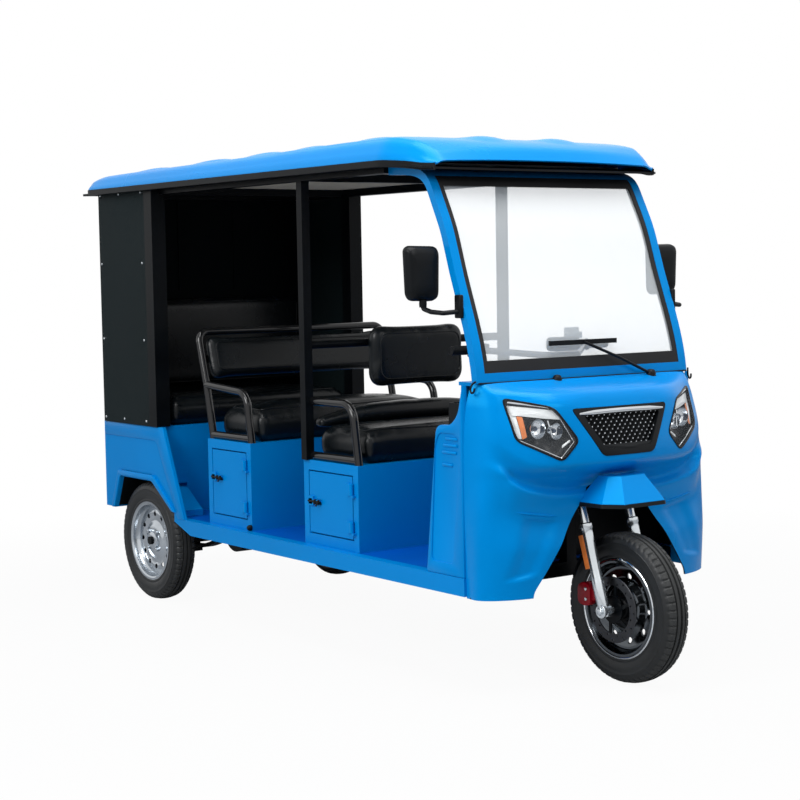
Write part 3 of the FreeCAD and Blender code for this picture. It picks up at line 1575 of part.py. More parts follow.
def make_caliper():
    """The brake caliper: a block behind the leg with a slot for the disc."""
    x = cell.front_axle_x
    outer = -(cell.leg_y - cell.leg_radius)
    low_z = cell.tyre_radius
    start = x - cell.caliper_back
    low = (start, outer - cell.caliper_out, low_z)
    high = (start + cell.caliper_long, cell.caliper_in - cell.disc_y, low_z + cell.caliper_high)
    block = box("caliper_block", low, high)
    slot_half = cell.disc_thick / 2 + cell.disc_gap
    slot_radius = cell.disc_radius + cell.running_gap
    outline = [
        (zero, -slot_half),
        (slot_radius, -slot_half),
        (slot_radius, slot_half),
        (zero, slot_half),
    ]
    slot = turned("caliper_slot", outline, (x, -cell.disc_y, cell.tyre_radius))
    arm_low = (x - cell.caliper_arm_back, outer - cell.leg_radius, low_z + cell.caliper_arm_low)
    arm_high = (x - cell.boss_radius, outer - cell.running_gap / 3, low_z + cell.caliper_arm_top)
    arm = box("caliper_arm", arm_low, arm_high)
    leg = rod("caliper_leg_trim", cell.leg_radius, cell.leg_long, (zero, zero, zero))
    tilted(leg, (x, -cell.leg_y, cell.tyre_radius))
    body = fuse("caliper_body", block, arm)
    keep(cut("brake_caliper", body, slot, leg), "brake_caliper")


# Rear axle, motor and springs


def spring_arc(middle, y, low, reach, rise):
    """A leaf's curve, lowest at the axle."""
    ends = [Vector(middle + reach * sign, y, low + rise) for sign in (-1, 1)]
    return Part.Arc(ends[0], Vector(middle, y, low), ends[1])


def make_running_gear():
    x = cell.rear_axle_x
    z = cell.tyre_radius
    inner = cell.rear_wheel_y - cell.hub_half_long - cell.running_gap
    parts = [rod("axle_tube", cell.axle_tube_radius, inner * 2, (x, -inner, z), "Y")]
    tip = cell.rear_wheel_y + cell.hub_half_long + cell.running_gap
    parts.append(rod("axle_stub", cell.stub_radius, tip * 2, (x, -tip, z), "Y"))
    parts.append(rod("diff_case", cell.diff_radius, cell.diff_wide, (x, -cell.diff_wide / 2, z), "Y"))
    for side, sign in SIDES:
        start = inner - cell.axle_flange_thick if sign > 0 else -inner
        thick = cell.axle_flange_thick
        parts.append(rod(f"axle_flange_{side}", cell.axle_flange_radius, thick, (x, start, z), "Y"))
        pad_y = cell.rail_y * sign - cell.spring_wide / 2
        sink = (cell.axle_tube_radius.value / cell.spring_reach.value) ** 2
        seat_low = z - cell.axle_tube_radius + cell.spring_rise * sink
        corner = (x - cell.axle_tube_radius, pad_y, seat_low)
        stop = (x + cell.axle_tube_radius, pad_y + cell.spring_wide, z)
        parts.append(box(f"spring_seat_{side}", corner, stop))
    keep(fuse("rear_axle", *parts), "rear_axle")
    front = x + cell.diff_radius
    keep(rod("drive_motor", cell.motor_radius, cell.motor_long, (front, zero, z), "X"), "drive_motor")

    reach = cell.spring_reach.value
    rise = cell.spring_rise.value
    thick = cell.spring_thick.value
    top = z.value - cell.axle_tube_radius.value
    middle = x.value
    wide = cell.spring_wide.value
    leaves = []
    for side, sign in SIDES:
        y = cell.rail_y.value * sign - wide / 2
        upper = spring_arc(middle, y, top, reach, rise)
        lower = spring_arc(middle, y, top - thick, reach, rise)
        ends = [
            Part.makeLine(upper.StartPoint, lower.StartPoint),
            Part.makeLine(upper.EndPoint, lower.EndPoint),
        ]
        face = Part.Face(Part.Wire(Part.__sortEdges__([upper.toShape(), lower.toShape()] + ends)))
        leaf = face.extrude(Vector(0, wide, 0))
        plate_long = cell.spring_plate_long.value
        plate_thick = cell.spring_plate_thick.value
        corner = Vector(middle - plate_long / 2, y, top - thick - plate_thick)
        plate = Part.makeBox(plate_long, wide, plate_thick + thick / 2, corner)
        leaves.append(leaf.fuse(plate))
    keep(shaped("leaf_springs", Part.makeCompound(leaves)), "leaf_springs")


# Mirrors, lamps, wiper and pedal


def make_mirrors():
    """A mirror housing on a bent arm, with its foot on the arch."""
    inner = cell.mirror_inner_y
    half_deep = cell.mirror_deep / 2
    top = cell.mirror_low + cell.mirror_high
    low = (cell.mirror_x - half_deep, inner, cell.mirror_low)
    high = (cell.mirror_x + half_deep, inner + cell.mirror_wide, top)
    housing = rounded("mirror_housing", box("mirror_block", low, high), cell.mirror_round)
    foot_z = cell.mirror_foot_z
    arch_x = as_size(arch_front_at(foot_z.value))
    y = cell.arch_half_wide
    elbow_y = inner + cell.mirror_elbow_out
    radius = cell.mirror_arm_radius
    route = [
        point(arch_x - cell.arch_bar_deep / 2, y + cell.mirror_foot_thick - cell.trim_gap, foot_z),
        point(cell.mirror_x + radius * 3, elbow_y, foot_z - radius),
        point(cell.mirror_x, elbow_y, cell.mirror_low + radius * 2),
    ]
    arm = shaped("mirror_arm", bent_tube(route, radius.value, radius.value * 2))
    half_high = cell.mirror_foot_high / 2
    foot_low = (arch_x - cell.arch_bar_deep + cell.mirror_foot_inset, y, foot_z - half_high)
    foot_high = (arch_x - cell.mirror_foot_inset, y + cell.mirror_foot_thick, foot_z + half_high)
    foot = box("mirror_foot", foot_low, foot_high)
    left = fuse("mirror_left", housing, arm, foot)
    keep(pair("mirrors", left), "mirrors")


def make_tail_lamps():
    half = cell.tail_lamp_wide / 2
    low = (cell.tail_x - cell.tail_lamp_thick, cell.tail_lamp_y - half, cell.tail_lamp_low)
    high = (cell.tail_x, cell.tail_lamp_y + half, cell.tail_lamp_low + cell.tail_lamp_high)
    keep(pair("tail_lamps", box("tail_lamp_left", low, high)), "tail_lamps")


def make_wiper():
    """The wiper lies on the glass: a stub through the nose, an arm and a blade."""
    x = cell.nose_rear_x + cell.wiper_ahead
    z = nose_top() - cell.wiper_foot_drop
    y = cell.wiper_pivot_y
    radius = cell.wiper_pivot_radius.value
    stub = Part.makeCylinder(radius, cell.overrun.value, point(x, y, z - cell.overrun / 2))
    thin = cell.wiper_arm_radius.value
    half = cell.wiper_blade_half.value
    high = cell.wiper_blade_high.value
    tip_x = arch_front_at(cell.wiper_tip_z.value) + high
    tip = Vector(tip_x, cell.wiper_tip_y.value, cell.wiper_tip_z.value)
    knee = point(x, y, z + cell.wiper_knee_high)
    arm = bent_tube([knee, (knee + tip) / 2 + Vector(high, 0, 0), tip], thin, thin * 6)
    blade = Part.makeBox(high / 2, half * 2, high, tip - Vector(high / 2, half, high / 2))
    bare = shaped("wiper_bare", stub.multiFuse([arm, blade]))
    keep(cut("wiper", bare, shaped("wiper_seat", nose_loft(0))), "wiper")


def make_pedal():
    """The brake pedal: a pad on a stalk that comes out of the apron."""
    front = cell.apron_foot_x
    foot = cell.deck_top + cell.pedal_low
    y = cell.pedal_y
    low = (front - cell.pedal_back, y - cell.pedal_wide / 2, foot)
    thick = cell.pedal_thick.value
    pad = Part.makeBox(thick, cell.pedal_wide.value, cell.pedal_long.value, point(*low))
    radius = cell.pedal_arm_radius
    root_z = foot + cell.pedal_arm_high
    tall = nose_top() - cell.dash_thick - cell.deck_top
    lean_share = (cell.apron_top_x - cell.apron_foot_x).value / tall.value
    root_x = front + (root_z - cell.deck_top - radius) * lean_share - cell.trim_gap
    knee_x = front - cell.pedal_arm_reach
    tip_x = front - cell.pedal_back + cell.pedal_thick / 2
    route = [
        point(root_x, y, root_z),
        point(knee_x, y, root_z - radius),
        point(tip_x, y, foot + cell.pedal_long / 2),
    ]
    stalk = bent_tube(route, radius.value, radius.value * 2)
    keep(shaped("brake_pedal", pad.fuse(stalk)), "brake_pedal")


def arch_front_at(height):
    """Where the arch's front face is at a height, read between the points of its curve."""
    points = arch_curve(0)
    for upper, lower in zip(points, points[1:]):
        if lower.z <= height <= upper.z:
            share = (upper.z - height) / (upper.z - lower.z)
            return upper.x + (lower.x - upper.x) * share
    return points[-1].x


def check_and_write():
    doc.recompute()
    for item in doc.Objects:
        if "Invalid" in item.State or "Error" in item.State:
            raise SystemExit(f"{item.Label} did not build: {item.State}")
    for name, item in nodes.items():
        if item.Shape.isNull() or not item.Shape.isValid():
            raise SystemExit(f"{name} has no valid shape")
    os.makedirs("parts", exist_ok=True)
    for name, item in nodes.items():
        item.Shape.exportStep(f"parts/{name}.step")
    print(len(nodes), "nodes written")


make_wheels()
make_deck()
make_frame()
make_rear_body()
make_tubs()
make_rear_bench()
make_side_panels()
make_benches()
make_seat_frames()
make_canopy_frame()
make_roof()
make_windscreen()
make_nose()
make_fender()
make_cab_front()
make_fork()
make_handlebar()
make_caliper()
make_running_gear()
make_mirrors()
make_tail_lamps()
make_wiper()
make_pedal()
check_and_write()
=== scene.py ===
import math

import bmesh
import bpy
from mathutils import Matrix, Vector
from mathutils.bvhtree import BVHTree


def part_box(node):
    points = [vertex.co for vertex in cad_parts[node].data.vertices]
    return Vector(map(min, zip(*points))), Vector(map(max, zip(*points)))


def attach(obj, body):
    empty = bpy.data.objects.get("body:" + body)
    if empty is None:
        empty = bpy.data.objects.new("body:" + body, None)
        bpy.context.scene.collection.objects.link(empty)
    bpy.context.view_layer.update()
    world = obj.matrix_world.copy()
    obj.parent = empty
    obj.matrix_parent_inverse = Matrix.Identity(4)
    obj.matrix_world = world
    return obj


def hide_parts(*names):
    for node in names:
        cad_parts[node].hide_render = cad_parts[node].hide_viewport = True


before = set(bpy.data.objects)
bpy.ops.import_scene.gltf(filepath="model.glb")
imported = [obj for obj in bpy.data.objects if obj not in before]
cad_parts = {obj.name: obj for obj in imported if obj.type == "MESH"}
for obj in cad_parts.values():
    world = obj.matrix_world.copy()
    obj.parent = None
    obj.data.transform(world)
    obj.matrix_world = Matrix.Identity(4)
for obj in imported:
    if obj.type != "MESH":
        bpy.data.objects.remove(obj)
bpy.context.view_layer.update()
scene = bpy.context.scene
SIDES = (("right", -1), ("left", 1))


# Mesh helpers


def link(name, mesh):
    piece = bpy.data.objects.new(name, mesh)
    scene.collection.objects.link(piece)
    return piece


def shade(piece, sharp=35):
    """Smooth shading, with an edge kept hard where it turns more than an angle."""
    form = bmesh.new()
    form.from_mesh(piece.data)
    bmesh.ops.remove_doubles(form, verts=form.verts, dist=1e-6)
    bmesh.ops.recalc_face_normals(form, faces=form.faces)
    limit = math.radians(sharp)
    for face in form.faces:
        face.smooth = True
    for edge in form.edges:
        edge.smooth = len(edge.link_faces) == 2 and edge.calc_face_angle(0) < limit
    form.to_mesh(piece.data)
    form.free()
    return piece


def build(name, points, faces, sharp=35):
    mesh = bpy.data.meshes.new(name)
    mesh.from_pydata([tuple(point) for point in points], [], faces)
    return shade(link(name, mesh), sharp)


def settle(piece, sharp=None):
    """Apply the piece's modifiers."""
    bpy.context.view_layer.update()
    shown = piece.evaluated_get(bpy.context.evaluated_depsgraph_get())
    mesh = bpy.data.meshes.new_from_object(shown)
    piece.modifiers.clear()
    piece.data = mesh
    if sharp:
        shade(piece, sharp)
    return piece


def round_edges(piece, width, segments, angle):
    """Round the edges that turn more than an angle, as a modifier."""
    rim = piece.modifiers.new("rim", "BEVEL")
    rim.width = width
    rim.segments = segments
    rim.limit_method = "ANGLE"
    rim.angle_limit = math.radians(angle)
    return rim


def quads(rows, columns, closed=False):
    """The faces of a net of points, given row by row."""
    faces = []
    for row in range(rows - 1):
        for column in range(columns if closed else columns - 1):
            a = row * columns + column
            b = row * columns + (column + 1) % columns
            faces.append((a, b, b + columns, a + columns))
    return faces


def loft(name, rings, caps=True, sharp=35):
    """A skin over closed rings of equal count."""
    count = len(rings[0])
    points = [point for ring in rings for point in ring]
    faces = quads(len(rings), count, True)
    if caps:
        faces.append(tuple(range(count))[::-1])
        faces.append(tuple(range(len(points) - count, len(points))))
    return build(name, points, faces, sharp)


def placed(axis, u, v, along):
    """A place given by two numbers across an axis and one along it."""
    return Vector({"X": (along, u, v), "Y": (u, along, v), "Z": (u, v, along)}[axis])


def turned(name, profile, centre, steps=96, axis="Y", sharp=35, ripple=None):
    """A closed profile of (radius, along) turned about an axis; ripple changes a radius by angle."""
    points = []
    for step in range(steps):
        angle = 2 * math.pi * step / steps
        for index, (radius, along) in enumerate(profile):
            if ripple:
                radius += ripple(index, step)
            spot = placed(axis, radius * math.cos(angle), radius * math.sin(angle), along)
            points.append(Vector(centre) + spot)
    count = len(profile)
    faces = []
    for step in range(steps):
        here, there = step * count, (step + 1) % steps * count
        for index in range(count):
            after = (index + 1) % count
            faces.append((here + index, here + after, there + after, there + index))
    return build(name, points, faces, sharp)


def filleted(points, radius, steps=8):
    """Straight runs joined by arcs of one radius."""
    points = [Vector(point) for point in points]
    path = [points[0]]
    for before, corner, after in zip(points, points[1:], points[2:]):
        back = (before - corner).normalized()
        ahead = (after - corner).normalized()
        half = back.angle(ahead) / 2
        trim = radius / math.tan(half)
        centre = corner + (back + ahead).normalized() * (radius / math.sin(half))
        first = corner + back * trim - centre
        last = corner + ahead * trim - centre
        for step in range(steps + 1):
            share = step / steps
            angle = first.angle(last)
            spot = (first * math.sin((1 - share) * angle) + last * math.sin(share * angle)) / math.sin(angle)
            path.append(centre + spot)
    path.append(points[-1])
    return path


def smooth_line(points, steps=6):
    """A smooth curve through points."""
    points = [Vector(point) for point in points]
    padded = [points[0] * 2 - points[1]] + points + [points[-1] * 2 - points[-2]]
    path = []
    for index in range(1, len(padded) - 2):
        a, b, c, d = padded[index - 1:index + 3]
        slope, bend, twist = c - a, 2 * a - 5 * b + 4 * c - d, 3 * b - a - 3 * c + d
        for step in range(steps):
            t = step / steps
            path.append(0.5 * (2 * b + slope * t + bend * t * t + twist * t ** 3))
    path.append(points[-1])
    return path


def sweep(name, path, profile, up=(0, 0, 1), sharp=40, closed=False):
    """A profile of (across, up) pairs carried along a path."""
    path = [Vector(point) for point in path]
    rings = []
    side = None
    for index, spot in enumerate(path):
        if closed:
            along = (path[(index + 1) % len(path)] - path[index - 1]).normalized()
        else:
            along = (path[min(index + 1, len(path) - 1)] - path[max(index - 1, 0)]).normalized()
        if side is None:
            side = Vector(up).cross(along)
            side = side.normalized() if side.length > 1e-4 else Vector((1, 0, 0))
        side = (side - along * side.dot(along)).normalized()
        over = along.cross(side)
        shape = profile(index / (len(path) - 1)) if callable(profile) else profile
        rings.append([spot + side * u + over * v for u, v in shape])
    if closed:
        rings.append(rings[0])
    return loft(name, rings, caps=not closed, sharp=sharp)


def circle(radius, sides=16, flat=1.0):
    """A round outline, flattened in its second direction if asked."""
    turns = [2 * math.pi * k / sides for k in range(sides)]
    return [(radius * math.cos(turn), radius * flat * math.sin(turn)) for turn in turns]


def circle_at(place, radius, sides):
    return [(place[0] + u, place[1] + v) for u, v in circle(radius, sides)]


def places_round(centre, radius, count, start=0.0):
    """Places in (x, z), evenly spaced round a centre."""
    turns = [start + 2 * math.pi * k / count for k in range(count)]
    return [(centre.x + radius * math.cos(turn), centre.z + radius * math.sin(turn)) for turn in turns]


def rectangle(low_u, low_v, high_u, high_v):
    return [(low_u, low_v), (high_u, low_v), (high_u, high_v), (low_u, high_v)]


def tube(name, path, radius, sides=16, up=(0, 0, 1)):
    return sweep(name, path, circle(radius, sides), up)


def block(name, low, high, radius, segments=3):
    """A moulded or pressed box with rounded edges."""
    form = bmesh.new()
    bmesh.ops.create_cube(form, size=1)
    low, high = Vector(low), Vector(high)
    for vert in form.verts:
        vert.co = Vector(low[k] + (high[k] - low[k]) * (vert.co[k] + 0.5) for k in range(3))
    bmesh.ops.bevel(form, geom=form.edges[:], offset=radius, segments=segments, profile=0.5, affect="EDGES")
    mesh = bpy.data.meshes.new(name)
    form.to_mesh(mesh)
    form.free()
    return shade(link(name, mesh))


def rounded_corner(before, corner, after, radius, steps=5):
    """The points that round off one corner."""
    before, corner, after = Vector(before), Vector(corner), Vector(after)
    back = before - corner
    ahead = after - corner
    reach = min(radius, back.length * 0.45, ahead.length * 0.45)
    first = corner + back.normalized() * reach
    last = corner + ahead.normalized() * reach
    shares = [step / steps for step in range(steps + 1)]
    return [(1 - t) ** 2 * first + 2 * t * (1 - t) * corner + t * t * last for t in shares]


def rounded_outline(corners, radius, steps=5):
    """A closed outline with its corners rounded."""
    result = []
    for index in range(len(corners)):
        after = corners[(index + 1) % len(corners)]
        result += rounded_corner(corners[index - 1], corners[index], after, radius, steps)
    return result


def dense(line, step=0.008, closed=True):
    """The line with its points close together."""
    result = []
    for start, end in zip(line, line[1:] + line[:1] if closed else line[1:]):
        start, end = Vector(start), Vector(end)
        count = max(1, round((end - start).length / step))
        result += [start.lerp(end, j / count) for j in range(count)]
    return result if closed else result + [Vector(line[-1])]


def prism(name, outline, axis, low, high, bevel=0.0, sharp=35):
    """A flat outline pushed along an axis, with its rims rounded off if asked."""
    rings = [[placed(axis, u, v, level) for u, v in outline] for level in (low, high)]
    piece = loft(name, rings, sharp=sharp)
    if bevel:
        round_edges(piece, bevel, 2, 50)
        settle(piece, sharp)
    return piece


def carve(piece, tools, sharp=35):
    """Cut tools out of a closed piece."""
    for tool in tools:
        step = piece.modifiers.new("cut", "BOOLEAN")
        step.operation = "DIFFERENCE"
        step.solver = "EXACT"
        step.object = tool
    settle(piece, sharp)
    for tool in tools:
        bpy.data.objects.remove(tool)
    return piece


def drill(piece, places, radius, sides, ends, sharp):
    """Cut round holes along Y."""
    holes = [prism("hole", circle_at(place, radius, sides), "Y", *ends) for place in places]
    return carve(piece, holes, sharp)


def hex_nut(name, place, radius, low, high):
    return prism(name, circle_at(place, radius, 6), "Y", low, high, 0.001)


def joined(name, pieces):
    """The pieces as one, each keeping its own materials."""
    form = bmesh.new()
    mesh = bpy.data.meshes.new(name)
    for piece in pieces:
        first = len(mesh.materials)
        for made in piece.data.materials:
            mesh.materials.append(made)
        known = len(form.faces)
        form.from_mesh(piece.data)
        form.faces.ensure_lookup_table()
        for face in form.faces[known:]:
            face.material_index += first
    form.to_mesh(mesh)
    form.free()
    for piece in pieces:
        bpy.data.objects.remove(piece)
    return link(name, mesh)


def flipped(piece):
    """The piece turned into its mirror image across the middle plane."""
    piece.data.transform(Matrix.Diagonal((1, -1, 1, 1)))
    piece.data.flip_normals()
    return piece


def mirrored(name, piece):
    """The piece and its mirror image as one."""
    return joined(name, [piece, flipped(link(name + "_other", piece.data.copy()))])


def leaned(piece, place, degrees):
    """Lean the piece back about Y and move it to its place."""
    turn = Matrix.Rotation(math.radians(-degrees), 4, "Y")
    piece.data.transform(Matrix.Translation(place) @ turn)
    return piece


def soften(name, width=0.002, segments=2, angle=32):
    """Round the edges of a shown CAD node a little, as pressed sheet has."""
    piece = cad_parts[name]
    flat = piece.modifiers.new("flat", "DECIMATE")
    flat.decimate_type = "DISSOLVE"
    flat.angle_limit = math.radians(2)
    round_edges(piece, width, segments, angle).harden_normals = True


# Materials


def linear(colour):
    """A colour as it reads on the screen, 0 to 255, to the shader's numbers."""
    parts = [part / 255 for part in colour]
    return [part / 12.92 if part <= 0.04045 else ((part + 0.055) / 1.055) ** 2.4 for part in parts]


def feed(tree, made, **inputs):
    """Set a node's inputs, named with _ for a space, to values or to other nodes' outputs."""
    for label, value in inputs.items():
        socket = made.inputs[label.replace("_", " ")]
        if isinstance(value, bpy.types.NodeSocket):
            tree.links.new(value, socket)
        else:
            socket.default_value = value


def add_node(tree, kind, **inputs):
    made = tree.nodes.new("ShaderNode" + kind)
    feed(tree, made, **inputs)
    return made


def maths(tree, operation, first, second):
    made = add_node(tree, "Math")
    made.operation = operation
    tree.links.new(first, made.inputs[0])
    tree.links.new(second, made.inputs[1])
    return made.outputs[0]


def mixed(tree, share, first, second):
    """Two shaders mixed by a share."""
    made = add_node(tree, "MixShader", Fac=share)
    tree.links.new(first.outputs[0], made.inputs[1])
    tree.links.new(second.outputs[0], made.inputs[2])
    return made.outputs[0]


def material(
    name, colour, rough, vary, patch, grain, bump, kind="noise", stretch=(1, 1, 1), metal=0.0, coat=0.0,
    alpha=1.0, rough_vary=0.08, specular=0.2, tint=(1, 1, 1),
):
    """One surface: a colour that drifts over it, a grain in its relief, and uneven gloss."""
    made = bpy.data.materials.new(name)
    made.use_nodes = True
    tree = made.node_tree
    where = add_node(tree, "TexCoord").outputs["Object"]
    drift = add_node(tree, "TexNoise", Vector=where, Scale=patch, Detail=5).outputs["Fac"]
    ramp = add_node(tree, "ValToRGB", Fac=drift)
    for index, place, share in ((0, 0.35, 1 - vary), (1, 0.68, 1 + vary)):
        stop = ramp.color_ramp.elements[index]
        stop.position = place
        stop.color = [min(part * share, 1) for part in linear(colour)] + [1]
    spread = add_node(tree, "Mapping", Vector=where, Scale=stretch).outputs["Vector"]
    if kind == "cells":
        fine = add_node(tree, "TexVoronoi", Vector=spread, Scale=grain)
        fine.feature = "DISTANCE_TO_EDGE"
        height = fine.outputs["Distance"]
    elif kind == "weave":
        waves = [add_node(tree, "TexWave", Vector=spread, Scale=grain, Distortion=0.4) for _ in range(2)]
        waves[1].bands_direction = "Z"
        height = maths(tree, "MULTIPLY", *(wave.outputs["Fac"] for wave in waves))
    else:
        height = add_node(tree, "TexNoise", Vector=spread, Scale=grain, Detail=4).outputs["Fac"]
    relief = add_node(tree, "Bump", Height=height, Strength=bump, Distance=0.001)
    low, high = max(rough - rough_vary, 0.02), min(rough + rough_vary, 1)
    gloss = add_node(tree, "MapRange", Value=drift, To_Min=low, To_Max=high)
    shader = tree.nodes["Principled BSDF"]
    feed(tree, shader, Base_Color=ramp.outputs["Color"], Normal=relief.outputs["Normal"])
    feed(tree, shader, Roughness=gloss.outputs["Result"], Metallic=metal, Alpha=alpha)
    feed(tree, shader, Specular_IOR_Level=specular, Specular_Tint=(*tint, 1))
    feed(tree, shader, Coat_Weight=coat, Coat_Roughness=0.06)
    return made


BLUE = (0, 131, 207)
SHEEN = (0.04, 0.76, 1.0)
# Each row: name, colour, roughness, drift of the colour, scales of drift and grain, relief
M = {
    "body_blue": material("body_paint", BLUE, 0.24, 0.04, 1.5, 260, 0.03, specular=0.26, tint=SHEEN),
    "sheet_blue": material("sheet_paint", BLUE, 0.30, 0.04, 1.5, 260, 0.03, specular=0.12, tint=SHEEN),
    "roof_blue": material("roof_shell_blue", BLUE, 0.26, 0.05, 1.2, 200, 0.04, specular=0.26, tint=SHEEN),
    "deck_blue": material("deck_paint", (0, 84, 182), 0.42, 0.10, 4, 300, 0.15, specular=0.3, tint=SHEEN),
    "frame_black": material("frame_paint", (8, 11, 14), 0.34, 0.25, 8, 300, 0.12, specular=0.10),
    "panel_black": material("panel_vinyl", (20, 29, 31), 0.55, 0.12, 2.5, 420, 0.30, "weave", specular=0.06),
    "back_black": material("back_vinyl", (9, 14, 16), 0.60, 0.12, 2.5, 420, 0.30, "weave", specular=0.03),
    "tube_black": material("tube_enamel", (14, 15, 17), 0.16, 0.2, 6, 220, 0.03, coat=0.5),
    "vinyl": material(
        "seat_vinyl", (11, 16, 19), 0.27, 0.25, 5, 520, 0.18, "cells", rough_vary=0.07, specular=0.26,
    ),
    "battery_case": material("battery_case", (40, 42, 46), 0.5, 0.2, 9, 260, 0.2),
    "lining": material("roof_lining", (196, 190, 176), 0.85, 0.06, 3, 700, 0.5, "weave"),
    "trim_black": material("trim_plastic", (11, 14, 17), 0.40, 0.2, 7, 520, 0.18, specular=0.15),
    "screen_black": material("screen_rubber", (30, 30, 31), 0.55, 0.15, 7, 420, 0.18),
    "glass": material(
        "screen_glass", (246, 251, 253), 0.03, 0.02, 3, 400, 0.0, alpha=0.28, rough_vary=0.01, specular=0.5,
    ),
    "lens": material(
        "lamp_lens", (225, 232, 238), 0.04, 0.02, 3, 60, 0.02, alpha=0.05, rough_vary=0.01, specular=0.3,
    ),
    "tail_red": material("tail_lens", (168, 14, 20), 0.14, 0.15, 9, 90, 0.1, coat=0.6),
    "amber": material("amber_lens", (222, 124, 62), 0.20, 0.10, 40, 120, 0.2, coat=0.3),
    "motor": material("cast_metal", (120, 122, 124), 0.45, 0.15, 12, 260, 0.3, metal=0.9),
    "chrome": material("chrome", (214, 218, 222), 0.10, 0.04, 6, 160, 0.02, metal=1.0),
    "dark_chrome": material("dark_chrome", (92, 96, 100), 0.16, 0.10, 12, 160, 0.05, metal=1.0),
    "fork_metal": material(
        "fork_metal", (212, 218, 222), 0.20, 0.08, 8, 200, 0.05, stretch=(1, 1, 0.1), metal=0.95,
    ),
    "silver": material("wheel_silver", (188, 194, 200), 0.18, 0.10, 10, 220, 0.06, metal=1.0),
    "disc_steel": material(
        "disc_steel", (66, 67, 70), 0.32, 0.12, 14, 420, 0.15, stretch=(1, 0.1, 1), metal=1.0,
    ),
    "caliper_red": material("caliper_paint", (140, 10, 26), 0.30, 0.12, 14, 200, 0.06, coat=0.1),
    "rubber": material("tyre_rubber", (13, 16, 18), 0.44, 0.22, 9, 520, 0.25, specular=0.4),
    # Lighter rubber for the tread's faces: painted light, for the light that falls on the tread
    "tread": material("tyre_tread_painted_light", (46, 47, 47), 0.6, 0.2, 12, 520, 0.25, specular=0.3),
    "dark": material("lamp_inside", (7, 8, 10), 0.26, 0.3, 30, 300, 0.1),
    "bulb": material("bulb_glass", (40, 58, 84), 0.08, 0.3, 60, 120, 0.05, coat=0.4, specular=0.5),
    "white": material("lamp_band", (236, 238, 236), 0.22, 0.03, 20, 120, 0.03, coat=0.3),
    "stud": material("stud_metal", (200, 204, 208), 0.36, 0.2, 60, 300, 0.05, metal=0.5),
    "mirror": material("mirror_glass", (206, 212, 216), 0.04, 0.02, 3, 400, 0.0, metal=1.0),
    "phone": material("holder_plastic", (150, 158, 162), 0.35, 0.15, 20, 200, 0.1),
}
SHEET_NODES = (
    "side_sills rear_body wheel_tubs rear_bench mid_bench front_bench dashboard "
    "mid_door_right mid_door_left front_door_right front_door_left"
)
NODE_MATERIALS = {
    "deck_blue": "floor_deck",
    "sheet_blue": SHEET_NODES,
    "body_blue": "windscreen_arch nose_shell front_fender leg_shields inner_apron",
    "roof_blue": "roof_shell",
    "frame_black": "chassis_frame canopy_frame brake_pedal rear_axle leaf_springs",
    "panel_black": "side_panels",
    "back_black": "back_panel",
    "battery_case": "battery_pack",
    "tube_black": "mid_seat_frame front_armrests",
    "lining": "roof_lining",
    "trim_black": "roof_visor grille mirrors wiper handlebar instrument_pod",
    "screen_black": "windscreen_frame",
    "glass": "windscreen_glass",
    "lens": "headlamps",
    "tail_red": "tail_lamps",
    "motor": "drive_motor",
    "fork_metal": "fork",
    "caliper_red": "brake_caliper",
    "rubber": "front_tyre rear_tyre_right rear_tyre_left",
    "chrome": "front_rim",
    "disc_steel": "brake_disc",
    "silver": "rear_rim_right rear_rim_left",
    "vinyl": (
        "rear_cushion mid_cushion front_cushion front_bolster "
        "rear_backrest mid_backrest driver_backrest"
    ),
}


def paint(piece, key):
    piece.data.materials.clear()
    piece.data.materials.append(M[key])
    return piece


def dress(piece, key, *nodes, slot=None, body="body"):
    """Give a piece its material and body, and let it stand for CAD nodes. The slot is not used."""
    if key:
        paint(piece, key)
    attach(piece, body)
    if nodes:
        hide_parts(*nodes)
    return piece


# Camera, lights and floor


def add_camera():
    yaw, pitch, roll = -0.6296, -0.0731, -0.0172
    ahead = Vector((-math.cos(yaw) * math.cos(pitch), -math.sin(yaw) * math.cos(pitch), math.sin(pitch)))
    across = ahead.cross(Vector((0, 0, 1))).normalized()
    over = across.cross(ahead)
    right = across * math.cos(roll) + over * math.sin(roll)
    up = over * math.cos(roll) - across * math.sin(roll)
    data = bpy.data.cameras.new("camera")
    data.lens = 79.71
    data.sensor_width = 36
    camera = bpy.data.objects.new("camera", data)
    turn = Matrix((right, up, -ahead)).transposed().to_4x4()
    camera.matrix_world = Matrix.Translation((5.499, -4.004, 1.372)) @ turn
    scene.collection.objects.link(camera)
    scene.camera = camera


def add_light(name, place, aim, size, power):
    data = bpy.data.lights.new(name, "AREA")
    data.shape = "RECTANGLE"
    data.size, data.size_y = size
    data.energy = power
    lamp = bpy.data.objects.new(name, data)
    lamp.location = place
    lamp.rotation_euler = (Vector(aim) - Vector(place)).to_track_quat("-Z", "Y").to_euler()
    scene.collection.objects.link(lamp)


def add_world():
    """A dim sky that lights the vehicle, seen as white by the camera and in reflections."""
    world = bpy.data.worlds.new("studio")
    scene.world = world
    world.use_nodes = True
    tree = world.node_tree
    plain = tree.nodes["Background"]
    feed(tree, plain, Color=(0.78, 0.87, 1.0, 1), Strength=0.36)
    bright = add_node(tree, "Background", Color=(1, 1, 1, 1), Strength=1.0)
    rays = add_node(tree, "LightPath").outputs
    seen = rays["Is Camera Ray"]
    for name in ("Is Glossy Ray", "Is Transmission Ray"):
        seen = maths(tree, "MAXIMUM", seen, rays[name])
    feed(tree, tree.nodes["World Output"], Surface=mixed(tree, seen, plain, bright))


